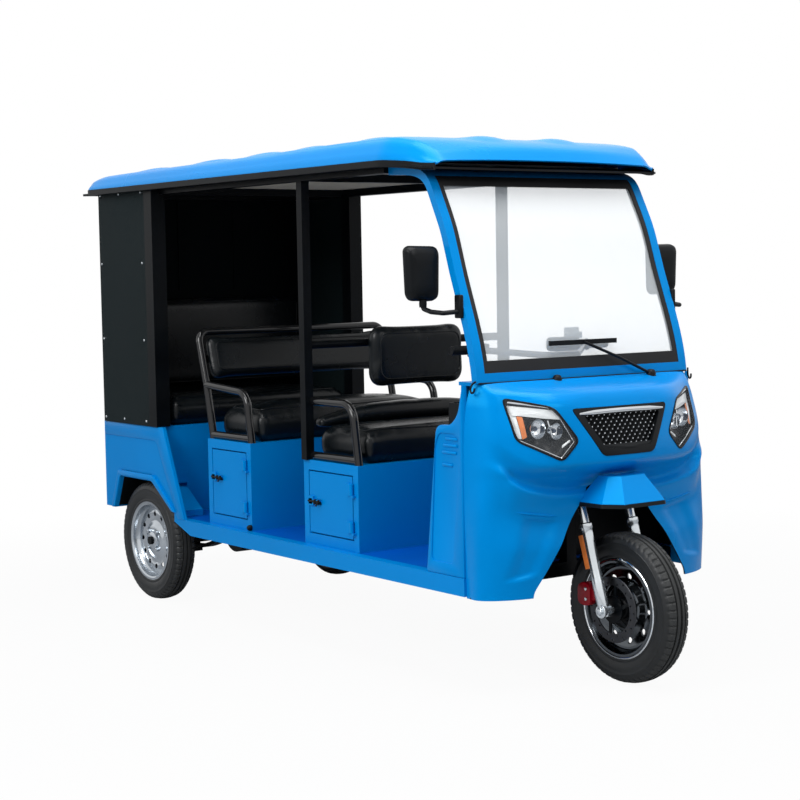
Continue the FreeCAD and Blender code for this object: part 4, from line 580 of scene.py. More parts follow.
def add_floor():
    """A wide pale floor that fades to white away from the vehicle."""
    reach = 40
    mesh = bpy.data.meshes.new("floor")
    corners = [(x, y, 0) for x, y in rectangle(-reach, -reach, reach, reach)]
    mesh.from_pydata(corners, [], [(0, 1, 2, 3)])
    floor = link("floor", mesh)
    pale = bpy.data.materials.new("floor_pale")
    pale.use_nodes = True
    tree = pale.node_tree
    base = tree.nodes["Principled BSDF"]
    feed(tree, base, Base_Color=(0.5, 0.5, 0.5, 1), Roughness=0.9, Specular_IOR_Level=0.1)
    glow = add_node(tree, "Emission", Strength=1.0)
    span = add_node(tree, "VectorMath")
    span.operation = "LENGTH"
    tree.links.new(add_node(tree, "TexCoord").outputs["Object"], span.inputs[0])
    away = span.outputs["Value"]
    fade = add_node(tree, "MapRange", Value=away, From_Min=1.8, From_Max=3.8, To_Min=0.95, To_Max=1.0)
    seen = add_node(tree, "LightPath").outputs["Is Camera Ray"]
    share = maths(tree, "MULTIPLY", seen, fade.outputs["Result"])
    feed(tree, tree.nodes["Material Output"], Surface=mixed(tree, share, base, glow))
    floor.data.materials.append(pale)


def add_stage():
    add_world()
    add_floor()
    add_light("key", (1.2, -5.6, 4.2), (0, 0, 0.9), (3.2, 2.6), 228)
    add_light("front", (6.2, 0.6, 4.8), (0.9, 0, 0.9), (2.6, 1.8), 78)
    add_light("top", (1.4, -0.3, 5.4), (0.5, 0, 1.0), (4.0, 3.4), 250)
    scene.view_settings.view_transform = "Standard"


# Wheels

FRONT_AXLE = Vector((1.26, 0, 0.25))
# Half of the tyre's section as (radius, out from the middle), from the bead to the tread's middle
TYRE_LINE = (
    (0.154, 0.039), (0.160, 0.043), (0.168, 0.04425), (0.170, 0.0455), (0.175, 0.04575), (0.177, 0.045),
    (0.1842, 0.04775), (0.19548, 0.0495), (0.20488, 0.05), (0.21428, 0.04925), (0.21569, 0.04975),
    (0.21804, 0.0495), (0.21898, 0.04825), (0.22932, 0.045), (0.23684, 0.042), (0.24201, 0.03672),
    (0.24389, 0.03456), (0.2455, 0.03024), (0.2465, 0.0252), (0.2470, 0.02016), (0.2410, 0.01908),
    (0.2410, 0.01548), (0.2488, 0.0144), (0.2495, 0.00504), (0.2430, 0.00396), (0.2430, 0.00072),
)
# The radius past which the tyre's faces take the lighter tread rubber, as painted light
LIT_TREAD_FROM = 0.238
TREAD_CUT, TREAD_CUT_ROWS, TREAD_CUT_STEP = 0.0045, range(14, 19), 5
# The rim's lip, from the inner edge to the well, and both sides of the rim made of it
RIM_LIP = ((0.151, 0.044), (0.166, 0.044), (0.1675, 0.0415), (0.166, 0.039), (0.157, 0.038), (0.155, 0.020))
RIM_LEFT = [(r, -y) for r, y in RIM_LIP]
RIM_RIGHT = [*RIM_LIP[:0:-1], (0.158, 0.0445), (0.152, 0.040)]


def make_tyre(name, centre, body, node):
    profile = [(r, -y) for r, y in TYRE_LINE] + [(r, y) for r, y in TYRE_LINE[::-1]]
    count = len(profile)

    def ripple(index, step):
        """Cuts across the shoulders of the tread, shifted on one side."""
        shift = 2 if index > count / 2 else 0
        row = min(index, count - 1 - index)
        return -TREAD_CUT if row in TREAD_CUT_ROWS and (step + shift) % TREAD_CUT_STEP == 0 else 0

    piece = paint(turned(name, profile, centre, steps=300, sharp=28, ripple=ripple), "rubber")
    # The tread's faces take the lighter rubber, a painted highlight, on every tyre
    piece.data.materials.append(M["tread"])
    for side in piece.data.polygons:
        if math.hypot(side.center.x - centre.x, side.center.z - centre.z) > LIT_TREAD_FROM:
            side.material_index = 1
    dress(piece, None, node, slot="tyre", body=body)


def make_rear_wheel(side, sign):
    centre = Vector((-1.136, 0.45 * sign, 0.25))
    body = f"rear_wheel_{side}"
    make_tyre(f"rear_tyre_{side}_road", centre, body, f"rear_tyre_{side}")

    def pressed(name, profile, steps=96):
        return turned(name, [(r, y * sign) for r, y in profile], centre, steps, sharp=30)

    barrel = pressed("barrel", [
        *RIM_LEFT, (0.147, -0.012), (0.147, 0.014), *RIM_RIGHT,
        (0.150, 0.022), (0.143, 0.012), (0.143, -0.010), (0.150, -0.020),
    ])
    plate = pressed("dish", [
        (0.030, 0.021), (0.058, 0.021), (0.066, 0.018), (0.078, 0.011), (0.094, 0.010), (0.106, 0.014),
        (0.118, 0.015), (0.132, 0.009), (0.146, 0.006), (0.146, 0.002), (0.131, 0.005), (0.117, 0.011),
        (0.107, 0.010), (0.094, 0.006), (0.077, 0.007), (0.064, 0.014), (0.057, 0.017), (0.030, 0.017),
    ])
    ends = centre.y - 0.05, centre.y + 0.05
    drill(plate, places_round(centre, 0.112, 12), 0.0105, 20, ends, 30)
    hub = [(0.0175, -0.036), (0.040, -0.036), (0.040, 0.018), (0.036, 0.030), (0.027, 0.033), (0.0175, 0.034)]
    parts = [barrel, plate, pressed("hub", hub, 48)]
    ends = sorted((centre.y + 0.019 * sign, centre.y + 0.035 * sign))
    for place in places_round(centre, 0.050, 4, math.pi / 4):
        parts.append(hex_nut("nut", place, 0.009, *ends))
    dress(joined(f"rear_wheel_metal_{side}", parts), "silver", f"rear_rim_{side}", body=body)


def make_front_wheel():
    make_tyre("front_tyre_road", FRONT_AXLE, "front_wheel", "front_tyre")
    barrel = turned("barrel", [
        *RIM_LEFT, (0.147, -0.012), (0.147, 0.012), *RIM_RIGHT,
        (0.149, 0.022), (0.142, 0.012), (0.142, -0.012), (0.149, -0.022), (0.152, -0.040), (0.158, -0.0445),
    ], FRONT_AXLE, sharp=30)
    edges = []
    for sign in (-1, 1):
        bead = [(0.1645 + u, (0.0415 + v) * sign) for u, v in circle(0.0042, 10)]
        edges.append(turned("rim_edge", bead, FRONT_AXLE))
    plate = turned("dish", [
        (0.036, -0.022), (0.070, -0.022), (0.078, -0.019), (0.090, -0.010), (0.106, -0.008), (0.124, -0.015),
        (0.136, -0.016), (0.145, -0.008), (0.145, -0.003), (0.136, -0.011), (0.124, -0.010), (0.106, -0.003),
        (0.089, -0.005), (0.076, -0.014), (0.070, -0.017), (0.036, -0.017),
    ], FRONT_AXLE, sharp=30)
    drill(plate, places_round(FRONT_AXLE, 0.108, 9), 0.010, 20, (-0.05, 0.05), 30)
    bright = paint(joined("rim_edges", edges), "chrome")
    metal = joined("front_wheel_metal", [paint(barrel, "dark_chrome"), bright, paint(plate, "dark_chrome")])
    dress(metal, None, "front_rim", slot="rim_chrome", body="front_wheel")
    drum = turned("drum", [
        (0.0102, -0.037), (0.030, -0.037), (0.034, -0.034), (0.036, -0.026), (0.066, -0.025), (0.068, -0.021),
        (0.068, -0.008), (0.064, -0.004), (0.064, 0.026), (0.060, 0.030), (0.030, 0.037), (0.0102, 0.037),
    ], FRONT_AXLE, 64, sharp=30)
    nuts = [hex_nut("nut", place, 0.007, -0.034, -0.024) for place in places_round(FRONT_AXLE, 0.052, 5, 0.3)]
    dress(joined("front_hub_black", [drum, *nuts]), "trim_black", body="front_wheel")


# Curved skins


def monotone(xs, ys, x):
    """The value at x of a curve through points that never overshoots them."""
    count = len(xs)
    steps = [(ys[k + 1] - ys[k]) / (xs[k + 1] - xs[k]) for k in range(count - 1)]
    slopes = [steps[0]]
    for before, after in zip(steps, steps[1:]):
        slopes.append(0 if before * after <= 0 else 2 * before * after / (before + after))
    slopes.append(steps[-1])
    k = 0
    while k < count - 2 and x > xs[k + 1]:
        k += 1
    wide = xs[k + 1] - xs[k]
    t = (x - xs[k]) / wide
    low = ys[k] * (1 + 2 * t) * (1 - t) ** 2 + slopes[k] * wide * t * (1 - t) ** 2
    return low + ys[k + 1] * t * t * (3 - 2 * t) - slopes[k + 1] * wide * t * t * (1 - t)


def skin(name, rows, sharp):
    """A sheet of even thickness over rows of points."""
    piece = build(name, [point for row in rows for point in row], quads(len(rows), len(rows[0])), sharp)
    wall = piece.modifiers.new("wall", "SOLIDIFY")
    wall.thickness = 0.006
    wall.offset = -1
    wall.use_even_offset = True
    return settle(piece, 50)


def patch(name, outline, surface, rise):
    """A closed outline in (y, z), filled and laid on a surface that gives x."""
    middle = Vector((0, 0))
    for spot in outline:
        middle += Vector(spot) / len(outline)
    points = []
    shares = (1, 0.96, 0.85, 0.65, 0.4, 0.15, 0.02)
    for share in shares:
        for spot in outline:
            y, z = middle + (Vector(spot) - middle) * share
            points.append(Vector((surface(y, z) + rise(share), y, z)))
    faces = quads(len(shares), len(outline), True)
    faces.append(tuple(range(len(points) - len(outline), len(points))))
    return build(name, points, faces)


def slimming(wide, tall, least, rate, sides):
    """A round profile for a sweep, which draws in towards both ends."""
    def profile(share):
        size = least + (1 - least) * min(1, rate * min(share, 1 - share))
        return [(u * wide * size, v * tall * size) for u, v in circle(1, sides)]

    return profile


# Roof

ROOF_SHARES = (
    (0, 0.95, 0, 0.30, 0.36),
    (0.014, 1, 0, 0.50, 0.60),
    (0.060, 1, 0, 0.61, 0.75),
    (0.540, 1, 0, 0.72, 0.88),
    (0.835, 1, 0, 0.80, 0.88),
    (0.905, 1, 0, 0.80, 0.84),
    (0.955, 0.955, -0.07, 0.66, 0.70),
    (0.985, 0.905, -0.16, 0.34, 0.46),
    (1, 0.875, -0.18, 0, 0.05),
)
ROOF_REAR, ROOF_LONG, ROOF_HALF, ROOF_LOW, ROOF_RISE = -1.510, 2.399, 0.560, 1.730, 0.110
ROOF_PADS = [(x, y) for x in (-1.222, -0.742, -0.343, -0.002, 0.409) for y in (-0.33, 0.33)]
ROOF_PADS += [(0.74, -0.16), (0.74, 0.16)]


def roof_at(share):
    """The roof's half width and three heights at a share of its length."""
    places = [row[0] for row in ROOF_SHARES]
    half, *levels = (monotone(places, [row[k] for row in ROOF_SHARES], share) for k in (1, 2, 3, 4))
    return half * ROOF_HALF, *(ROOF_LOW + ROOF_RISE * level for level in levels)


def roof_row(share):
    x = ROOF_REAR + ROOF_LONG * share
    half, low, shoulder, crown = roof_at(share)
    inner = half - 0.062
    right = [
        (half, low), (half, low + 0.012), (half - 0.010, low + (shoulder - low) * 0.45),
        (half - 0.034, low + (shoulder - low) * 0.86), (inner - 0.02, shoulder),
        (inner / 2, shoulder + 0.8 * (crown - shoulder)),
    ]
    line = [Vector((x, -y, z)) for y, z in right] + [Vector((x, 0, crown))]
    line += [Vector((x, y, z)) for y, z in right[::-1]]
    row = smooth_line(line, 8)
    for spot in row:
        for pad_x, pad_y in ROOF_PADS:
            long, wide = (0.058, 0.15) if pad_x < 0.6 else (0.07, 0.10)
            away = math.hypot((spot.x - pad_x) / long, (spot.y - pad_y) / wide)
            if away < 1:
                tall = 0.017 if pad_x < 0.6 else 0.011
                spot.z += tall * (1 - away * away) ** 1.4
    return row


def make_roof():
    shares = [0, 0.004, 0.009, 0.014, 0.022, 0.034, 0.046]
    shares += [0.06 + 0.88 * k / 130 for k in range(131)]
    shares += [0.94 + 0.06 * k / 14 for k in range(1, 15)]
    dress(skin("roof_skin", [roof_row(share) for share in shares], 60), "roof_blue", "roof_shell")
    edge = []
    for share in shares:
        half, low = roof_at(share)[:2]
        edge.append(Vector((ROOF_REAR + ROOF_LONG * share, -half, low - 0.004)))
    strip_profile = [(-0.004, -0.010), (0.004, -0.012), (0.006, 0.006), (0.004, 0.012), (-0.004, 0.012)]
    strip = mirrored("roof_edges", sweep("roof_edge", edge, strip_profile))
    half, low = roof_at(0)[:2]
    ends = (ROOF_REAR - 0.005, -half, low - 0.016), (ROOF_REAR + 0.008, half, low + 0.010)
    rim = [strip, block("roof_back", *ends, 0.003)]
    for sign in (-1, 1):
        tip = ((0.09, 0.557), (-0.024, 0.560), (0, 0.515), (0.09, 0.500))
        outline = [(ROOF_REAR + ahead, y * sign) for ahead, y in tip]
        rim.append(prism("roof_tip", outline, "Z", low - 0.016, low - 0.006, 0.002))
    dress(joined("roof_rim", rim), "trim_black")


def make_visor():
    """The black plate under the roof's front, whose corners stand out past the shell."""
    rear, long = 0.60, 0.30
    half = (
        (rear, 0.545), (0.74, 0.545), (0.82, 0.537), (0.868, 0.524), (0.886, 0.502), (0.887, 0.440),
        (0.892, 0.25),
    )
    outline = [(x, -y) for x, y in half] + [(x, y) for x, y in half[::-1]]
    rings = []
    for drop in (0.0, 0.007):
        rings.append([Vector((x, y, 1.730 - 0.026 * ((x - rear) / long) ** 2 - drop)) for x, y in outline])
    dress(loft("visor_plate", rings, sharp=30), "trim_black", "roof_visor")


# Nose

NOSE_SHARES = (
    (0, ((0, 0.98), (0.266, 0.975), (0.473, 0.86), (0.604, 0.66), (0.652, 0.29), (0.67, 0))),
    (0.215, ((0, 0.986), (0.294, 0.975), (0.51, 0.86), (0.633, 0.66), (0.68, 0.29), (0.699, 0))),
    (0.410, ((0, 0.99), (0.322, 0.96), (0.473, 0.84), (0.529, 0.64), (0.548, 0.29), (0.557, 0))),
    (0.555, ((0, 0.99), (0.341, 0.94), (0.51, 0.82), (0.652, 0.62), (0.736, 0.29), (0.755, 0))),
    (0.625, ((0, 0.99), (0.378, 0.925), (0.633, 0.76), (0.84, 0.52), (0.967, 0.215), (1, 0))),
    (0.750, ((0, 0.986), (0.369, 0.905), (0.567, 0.78), (0.798, 0.52), (0.901, 0.29), (0.925, 0))),
    (0.885, ((0, 0.97), (0.313, 0.88), (0.426, 0.79), (0.722, 0.53), (0.788, 0.29), (0.802, 0))),
    (0.942, ((0, 0.95), (0.266, 0.87), (0.369, 0.78), (0.604, 0.53), (0.685, 0.29), (0.699, 0))),
    (1.0, ((0, 0.92), (0.105, 0.89), (0.134, 0.8), (0.152, 0.53), (0.162, 0.29), (0.171, 0))),
)
NOSE_REAR, NOSE_LONG, NOSE_HALF, NOSE_LOW, NOSE_TALL = 1.040, 0.240, 0.512, 0.310, 0.694
LAMP_SHARES = ((0.389, 0.729), (0.535, 0.886), (0.811, 0.934), (0.785, 0.739), (0.513, 0.636))
GRILLE_SHARES = ((0.416, 0.875), (0.219, 0.648))
WHEEL_WAY_SHARES = ((0.190, 0.500), (0.285, 0.409), (0.668, 0.022))
RIDGE = ((0, 0.620), (0.214, 0.627), (0.357, 0.653), (0.406, 0.679), (0.445, 0.715), (0.520, 0.770))
POCKET = ((-0.228, 0.546), (-0.372, 0.573), (-0.453, 0.365), (-0.323, 0.383))
POCKET_EDGES = (0.006, 0.050, 0.016, 0.040)


def ramp(value, low, high):
    t = min(max((value - low) / (high - low), 0), 1)
    return t * t * (3 - 2 * t)


def pocket_depth(y, z):
    """How far inside the pressed pocket a place lies, from 0 at its edge to 1."""
    y = -abs(y)
    inside = 1.0
    for k in range(4):
        start, end = Vector(POCKET[k]), Vector(POCKET[(k + 1) % 4])
        along = (end - start).normalized()
        away = along.cross(Vector((y, z)) - start)
        inside *= ramp(away, -0.004, POCKET_EDGES[k])
    return inside


def relief(y, z):
    """The ridge that falls from the side to the fender, the hollow above it, and the pocket."""
    line = monotone([row[0] for row in RIDGE], [row[1] for row in RIDGE], abs(y))
    fade = 1 - ramp(abs(y), 0.40, 0.485)
    above = z - line
    rise = 0.0
    if above < 0:
        rise = 0.018 * (1 - ramp(-above, 0, 0.12))
    elif above < 0.034:
        rise = 0.018 - 0.038 * ramp(above, 0, 0.034)
    elif above < 0.100:
        rise = -0.020 * (1 - ramp(above, 0.034, 0.100))
    return rise * fade - 0.009 * pocket_depth(y, z)


def nose_row(height):
    levels = [row[0] for row in NOSE_SHARES]
    right = []
    for k in range(6):
        ahead = monotone(levels, [row[1][k][0] for row in NOSE_SHARES], height)
        out = monotone(levels, [row[1][k][1] for row in NOSE_SHARES], height)
        right.append(Vector((NOSE_REAR + NOSE_LONG * ahead, -NOSE_HALF * out, NOSE_LOW + NOSE_TALL * height)))
    line = smooth_line(right + [Vector((spot.x, -spot.y, spot.z)) for spot in right[-2::-1]], 14)
    row = []
    for k, spot in enumerate(line):
        along = line[min(k + 1, len(line) - 1)] - line[max(k - 1, 0)]
        outward = Vector((along.y, -along.x, 0)).normalized()
        row.append(spot + outward * relief(spot.y, spot.z))
    return row


def nose_rows():
    heights = []
    levels = [row[0] for row in NOSE_SHARES]
    for low, high in zip(levels, levels[1:]):
        steps = max(4, round((high - low) / 0.008))
        heights += [low + (high - low) * k / steps for k in range(steps)]
    return [nose_row(height) for height in heights + [1.0]]


class NoseFace:
    """Gives the nose's front at a place in (y, z)."""

    def __init__(self, rows):
        points = [spot for row in rows for spot in row]
        self.tree = BVHTree.FromPolygons(points, quads(len(rows), len(rows[0])))

    def x(self, y, z):
        hit = self.tree.ray_cast(Vector((3, y, z)), Vector((-1, 0, 0)))[0]
        return hit.x if hit else NOSE_REAR

    def spot(self, y, z, rise):
        return Vector((self.x(y, z) + rise, y, z))


def nose_spots(shares):
    return [(NOSE_HALF * out, NOSE_LOW + NOSE_TALL * up) for out, up in shares]


def around(outline, gap):
    """The outline grown by a gap, or drawn in by a negative one."""
    count = len(outline)
    turning = sum(
        outline[k][0] * outline[(k + 1) % count][1] - outline[(k + 1) % count][0] * outline[k][1]
        for k in range(count)
    )
    hand = 1 if turning > 0 else -1
    result = []
    for k in range(count):
        before, spot, after = (Vector(outline[(k + j) % count]) for j in (-1, 0, 1))
        first = (spot - before).normalized()
        second = (after - spot).normalized()
        normal_first = Vector((first.y, -first.x)) * hand
        normal_second = Vector((second.y, -second.x)) * hand
        middle = normal_first + normal_second
        scale = 2 / max(middle.length_squared, 0.5)
        result.append(spot + middle * gap * scale)
    return result


def lamp_line(gap, sign=1):
    outline = rounded_outline(around(nose_spots(LAMP_SHARES), gap), 0.022)
    return dense([(y * sign, z) for y, z in outline])


def grille_line(gap, radius=0.018):
    left = nose_spots(GRILLE_SHARES)
    corners = [left[0], left[1], (-left[1][0], left[1][1]), (-left[0][0], left[0][1])]
    return dense(rounded_outline(around(corners, gap), radius))


def rim_on(name, outer, inner, face, height, sink=0.012):
    """A raised moulding between two outlines, laid on the nose."""
    inner = [min(inner, key=lambda spot: (Vector(spot) - Vector(start)).length) for start in outer]
    middle = [(Vector(a) + Vector(b)) / 2 for a, b in zip(outer, inner)]
    low = height * 0.7
    lines = ((outer, -sink), (outer, low), (middle, height), (inner, low), (inner, -sink))
    rings = [[face.spot(y, z, rise) for y, z in line] for line, rise in lines]
    return loft(name, rings, caps=False, sharp=40)


def make_nose():
    rows = nose_rows()
    face = NoseFace(rows)
    shell = skin("nose_skin", rows, 50)
    way = nose_spots(WHEEL_WAY_SHARES)
    way += [(way[-1][0], NOSE_LOW - 0.03)]
    whole = rounded_outline([(-y, z) for y, z in way[::-1]] + way, 0.02)
    openings = [whole, grille_line(0.0)] + [lamp_line(0.0, sign) for side, sign in SIDES]
    front, back = NOSE_REAR + NOSE_LONG + 0.05, NOSE_REAR + 0.02
    carve(shell, [prism("way", opening, "X", back, front) for opening in openings], 40)
    paint(shell, "body_blue")
    shell.data.materials.append(M["trim_black"])
    for side in shell.data.polygons:
        inward = -side.normal.y if side.center.y > 0 else side.normal.y
        if side.normal.x < -0.1 or (inward > 0.7 and side.normal.x < 0.2):
            side.material_index = 1
    dress(shell, None, "nose_shell", slot="body_blue")
    make_grille(face)
    make_lamps(face)
    return face


GRILLE_LOW, GRILLE_TOP, GRILLE_PITCH = 0.791, 0.893, 0.0235


def grille_half(z):
    """Half the width of the grille's field at a height."""
    top, low = nose_spots(GRILLE_SHARES)
    share = (z - low[1]) / (top[1] - low[1])
    return low[0] + (top[0] - low[0]) * share - 0.026


def grille_bars(face):
    """Bars that cross in two directions."""
    bars = []
    span = GRILLE_TOP - GRILLE_LOW
    reach = grille_half(GRILLE_TOP) + span
    for lean in (-1, 1):
        start = -reach
        while start < reach:
            run = []
            for k in range(13):
                rise = span * k / 12
                y, z = start + lean * rise, GRILLE_LOW + rise
                if abs(y) < grille_half(z):
                    run.append(face.spot(y, z, -0.010 + 0.0012 * lean))
            if len(run) > 2:
                bars.append(sweep("grille_bar", run, circle(0.0021, 6, 1.6), up=(1, 0, 0)))
            start += GRILLE_PITCH
    return bars


def grille_studs(face):
    """Small studs in rows, each row shifted by half a step."""
    studs = []
    reach = grille_half(GRILLE_TOP)
    row = 0
    z = GRILLE_LOW + GRILLE_PITCH / 4
    while z < GRILLE_TOP:
        y = -reach - (GRILLE_PITCH / 2 if row % 2 else 0)
        while y < reach:
            if abs(y) < grille_half(z) - 0.004:
                x = face.x(y, z)
                studs.append(prism("stud", circle_at((y, z), 0.0028, 6), "X", x - 0.010, x - 0.0055, 0.0006))
            y += GRILLE_PITCH
        z += GRILLE_PITCH / 2
        row += 1
    return studs


def make_grille(face):
    border = rim_on("grille_frame", grille_line(-0.001), grille_line(-0.024, 0.014), face, 0.003)
    back = patch("grille_back", grille_line(-0.010), face.x, lambda share: -0.020)
    bars = grille_bars(face)
    studs = grille_studs(face)
    dark = joined("grille_dark", [border, back, *bars])
    chin = rounded_outline([(-0.140, 0.797), (0.140, 0.797), (0.108, 0.768), (-0.108, 0.768)], 0.012)
    lip = patch("grille_chin", dense(chin), face.x, lambda share: 0.0045 - 0.006 * share)
    dress(dark, "trim_black", "grille")
    dress(lip, "trim_black")
    dress(joined("grille_studs", studs), "stud")
    half = 0.186
    path = []
    for k in range(25):
        y = -half + 2 * half * k / 24
        path.append(face.spot(y, 0.9035 - 0.004 * (y / half) ** 2, 0.004))
    dress(sweep("grille_strip", path, slimming(0.004, 0.0075, 0.4, 6, 12)), "chrome")


# Flat pieces inside the lamp: name, level, material, corner radius, corners in (y, z)
LAMP_FLATS = (
    ("band", -0.009, "white", 0.004, (
        (0.403, 0.934), (0.268, 0.915), (0.246, 0.884), (0.303, 0.890), (0.362, 0.899), (0.379, 0.901),
        (0.392, 0.900),
    )),
    ("strip", -0.012, "white", 0.004, (
        (0.403, 0.928), (0.381, 0.902), (0.376, 0.827), (0.387, 0.829), (0.402, 0.884),
    )),
    ("amber", -0.010, "amber", 0.004, ((0.381, 0.900), (0.364, 0.897), (0.361, 0.833), (0.376, 0.826))),
    ("bar", -0.010, "white", 0.003, ((0.255, 0.793), (0.225, 0.812), (0.224, 0.820), (0.254, 0.802))),
)
# Chrome lines inside the lamp: name, level, radius, corners in (y, z)
LAMP_WIRES = (
    ("brow", -0.004, 0.0036, ((0.400, 0.9445), (0.276, 0.9235))),
    ("line", -0.006, 0.0020, ((0.389, 0.824), (0.263, 0.762), (0.214, 0.812), (0.262, 0.905))),
    ("rib", -0.016, 0.0030, ((0.288, 0.883), (0.278, 0.828))),
)
LAMP_CUPS = ((0.322, 0.857, 0.030), (0.264, 0.848, 0.025))
LAMP_BOWL = ((1, 0.004), (0.97, 0.02), (0.9, 0.035), (0.78, 0.045), (0.4, 0.050), (0.05, 0.050))


def lamp_body(side, sign, face):
    """The lamp's dark bowl and its thin surround."""
    surround = rim_on("lamp_rim", lamp_line(0.002, sign), lamp_line(-0.004, sign), face, 0.0030, 0.02)
    spots = nose_spots(LAMP_SHARES)
    middle = Vector((sum(s[0] for s in spots) / 5 * sign, sum(s[1] for s in spots) / 5))
    mouth = lamp_line(-0.001, sign)
    rings = []
    for share, sink in LAMP_BOWL:
        ring = [middle + (Vector(spot) - middle) * share for spot in mouth]
        rings.append([face.spot(y, z, -sink) for y, z in ring])
    bowl = loft("lamp_bowl", rings, caps=False, sharp=40)
    dress(joined(f"lamp_body_{side}", [surround, bowl]), "dark")


def lamp_cups(side, sign, face):
    """Two chrome reflectors, each with its bulb."""
    for index, (out, up, size) in enumerate(LAMP_CUPS):
        place = face.spot(out * sign, up, -0.040)
        cup = [
            (size, 0.026), (size * 0.98, 0.012), (size * 0.8, 0.004), (size * 0.4, -0.001), (0.001, -0.002),
            (0.001, -0.005), (size * 0.5, -0.004), (size * 0.9, 0.002), (size + 0.002, 0.012),
            (size + 0.002, 0.026),
        ]
        dress(turned(f"cup_{side}_{index}", cup, place, 40, "X"), "chrome", slot="lamp_glass")
        bulb = [(0.001, 0.0), (0.007, 0.002), (0.009, 0.008), (0.008, 0.014), (0.005, 0.018), (0.001, 0.019)]
        dress(turned(f"eye_{side}_{index}", bulb, place, 28, "X"), "bulb")


def make_lamps(face):
    for side, sign in SIDES:
        lamp_body(side, sign, face)
        lamp_cups(side, sign, face)
        for name, level, key, radius, corners in LAMP_FLATS:
            outline = dense(rounded_outline([(y * sign, z) for y, z in corners], radius), 0.006)
            flat = patch(f"lamp_{name}_{side}", outline, face.x, lambda share: level + 0.003 * (1 - share))
            dress(flat, key, slot="lamp_glass")
        for name, level, radius, corners in LAMP_WIRES:
            path = [face.spot(y * sign, z, level) for y, z in dense(corners, 0.006, False)]
            wire = sweep(f"lamp_{name}_{side}", path, circle(radius, 8), up=(1, 0, 0))
            dress(wire, "chrome", slot="lamp_glass")
        mouth = lamp_line(-0.003, sign)
        lens = patch(f"lamp_lens_{side}", mouth, face.x, lambda share: 0.001 + 0.003 * (1 - share ** 2))
        dress(lens, "lens", *(["headlamps"] if sign > 0 else []))


# Trim


def make_front_trim(face):
    """The band under the fender, the wiper's foot, the nozzle and the pockets' brows."""
    half = [(1.150, 0.1425), (1.289, 0.1365), (1.343, 0.090)]
    line = [(x, -y, 0.599) for x, y in half] + [(x, y, 0.599) for x, y in half[::-1]]
    path = filleted(line, 0.018, 6)
    lip = sweep("fender_lip", path, [(-0.005, -0.006), (0.003, -0.007), (0.004, 0.006), (-0.003, 0.007)])
    dress(lip, "trim_black")
    feet = []
    for x, y, size in ((1.088, 0.280, 0.017), (1.080, -0.140, 0.016)):
        foot = [(0.001, -0.03), (size, -0.03), (size, 0.004), (size * 0.8, 0.012), (size * 0.5, 0.016)]
        foot += [(0.001, 0.017)]
        feet.append(turned("foot", foot, (x, y, 1.002), 32, "Z"))
    dress(joined("wiper_feet", feet), "trim_black")
    brows = []
    for sign in (-1, 1):
        shares = [k / 11 for k in range(12)]
        path = [face.spot((-0.398 + 0.165 * share) * sign, 0.592 - 0.026 * share, -0.001) for share in shares]
        brows.append(sweep("pocket_brow", path, slimming(0.004, 0.006, 0.2, 5, 10), up=(1, 0, 0)))
    dress(joined("pocket_brows", brows), "body_blue")


def make_wheel_liner():
    """The black guard in front of the apron, behind the wheel."""
    rings = []
    half, side = 0.487, 0.482
    for x, z in ((0.9135, 0.345), (0.9145, 0.378), (0.9265, 0.62), (0.9415, 0.94)):
        ring = [(x, -half), (1.034, -half), (1.034, -side), (x + 0.004, -side)]
        ring += [(u, -y) for u, y in ring[::-1]]
        rings.append([Vector((u, y, z)) for u, y in ring])
    dress(loft("wheel_liner", rings), "trim_black")


def make_leg_shields():
    """The inner fairings: rounded at the top, with a sunk panel and louvres."""
    foot, front, slope, top, back, heel = (
        (1.040, 0.375), (1.040, 1.004), (1.016, 0.905), (0.975, 0.868), (0.900, 0.868), (0.838, 0.375),
    )
    outline = [foot, front, *rounded_corner(front, slope, top, 0.03), *rounded_corner(slope, top, back, 0.03)]
    outline += [*rounded_corner(top, back, heel, 0.075, 9), heel]
    plate = prism("shield", outline, "Y", -0.512, -0.488, 0.005)
    panel = [(0.866, 0.415), (0.985, 0.415), (1.028, 0.800), (1.010, 0.842), (0.915, 0.842), (0.895, 0.80)]
    carve(plate, [prism("sunk", rounded_outline(panel, 0.022), "Y", -0.530, -0.5075)])
    round_edges(plate, 0.0025, 2, 50)
    settle(plate, 35)
    louvres = ((0.824, 0.948, 1.012), (0.802, 0.936, 1.010), (0.779, 0.930, 1.006), (0.738, 0.930, 0.985))
    ribs = []
    for z, start, end in louvres:
        ribs.append(block("louvre", (start, -0.5118, z - 0.0055), (end, -0.505, z + 0.0055), 0.0042))
    fairing = mirrored("leg_fairings", joined("fairing", [plate, *ribs]))
    dress(fairing, "sheet_blue", "leg_shields")


def make_rear_creases():
    """Pressed bands, the wheel openings' flanges and the tail's grooves."""
    band = [
        (-1.476, 0.742), (-0.953, 0.742), (-0.791, 0.376), (-0.848, 0.376), (-1.006, 0.672), (-1.030, 0.684),
        (-1.476, 0.684),
    ]
    plate = prism("quarter_band", band, "Y", -0.5165, -0.5105, 0.0025)
    lip = [
        (-1.420, 0.371), (-1.352, 0.538), (-1.040, 0.538), (-0.862, 0.400), (-0.884, 0.400), (-1.056, 0.516),
        (-1.334, 0.516), (-1.394, 0.371),
    ]
    arch = prism("arch_flange", rounded_outline(lip, 0.02, 4), "Y", -0.5235, -0.5105, 0.003)
    pieces = [mirrored("quarter_bands", plate), mirrored("arch_flanges", arch)]
    for z in (0.700, 0.628, 0.452):
        pieces.append(block("tail_rib", (-1.493, -0.352, z - 0.011), (-1.482, 0.352, z + 0.011), 0.005))
    dress(joined("rear_creases", pieces), "sheet_blue")


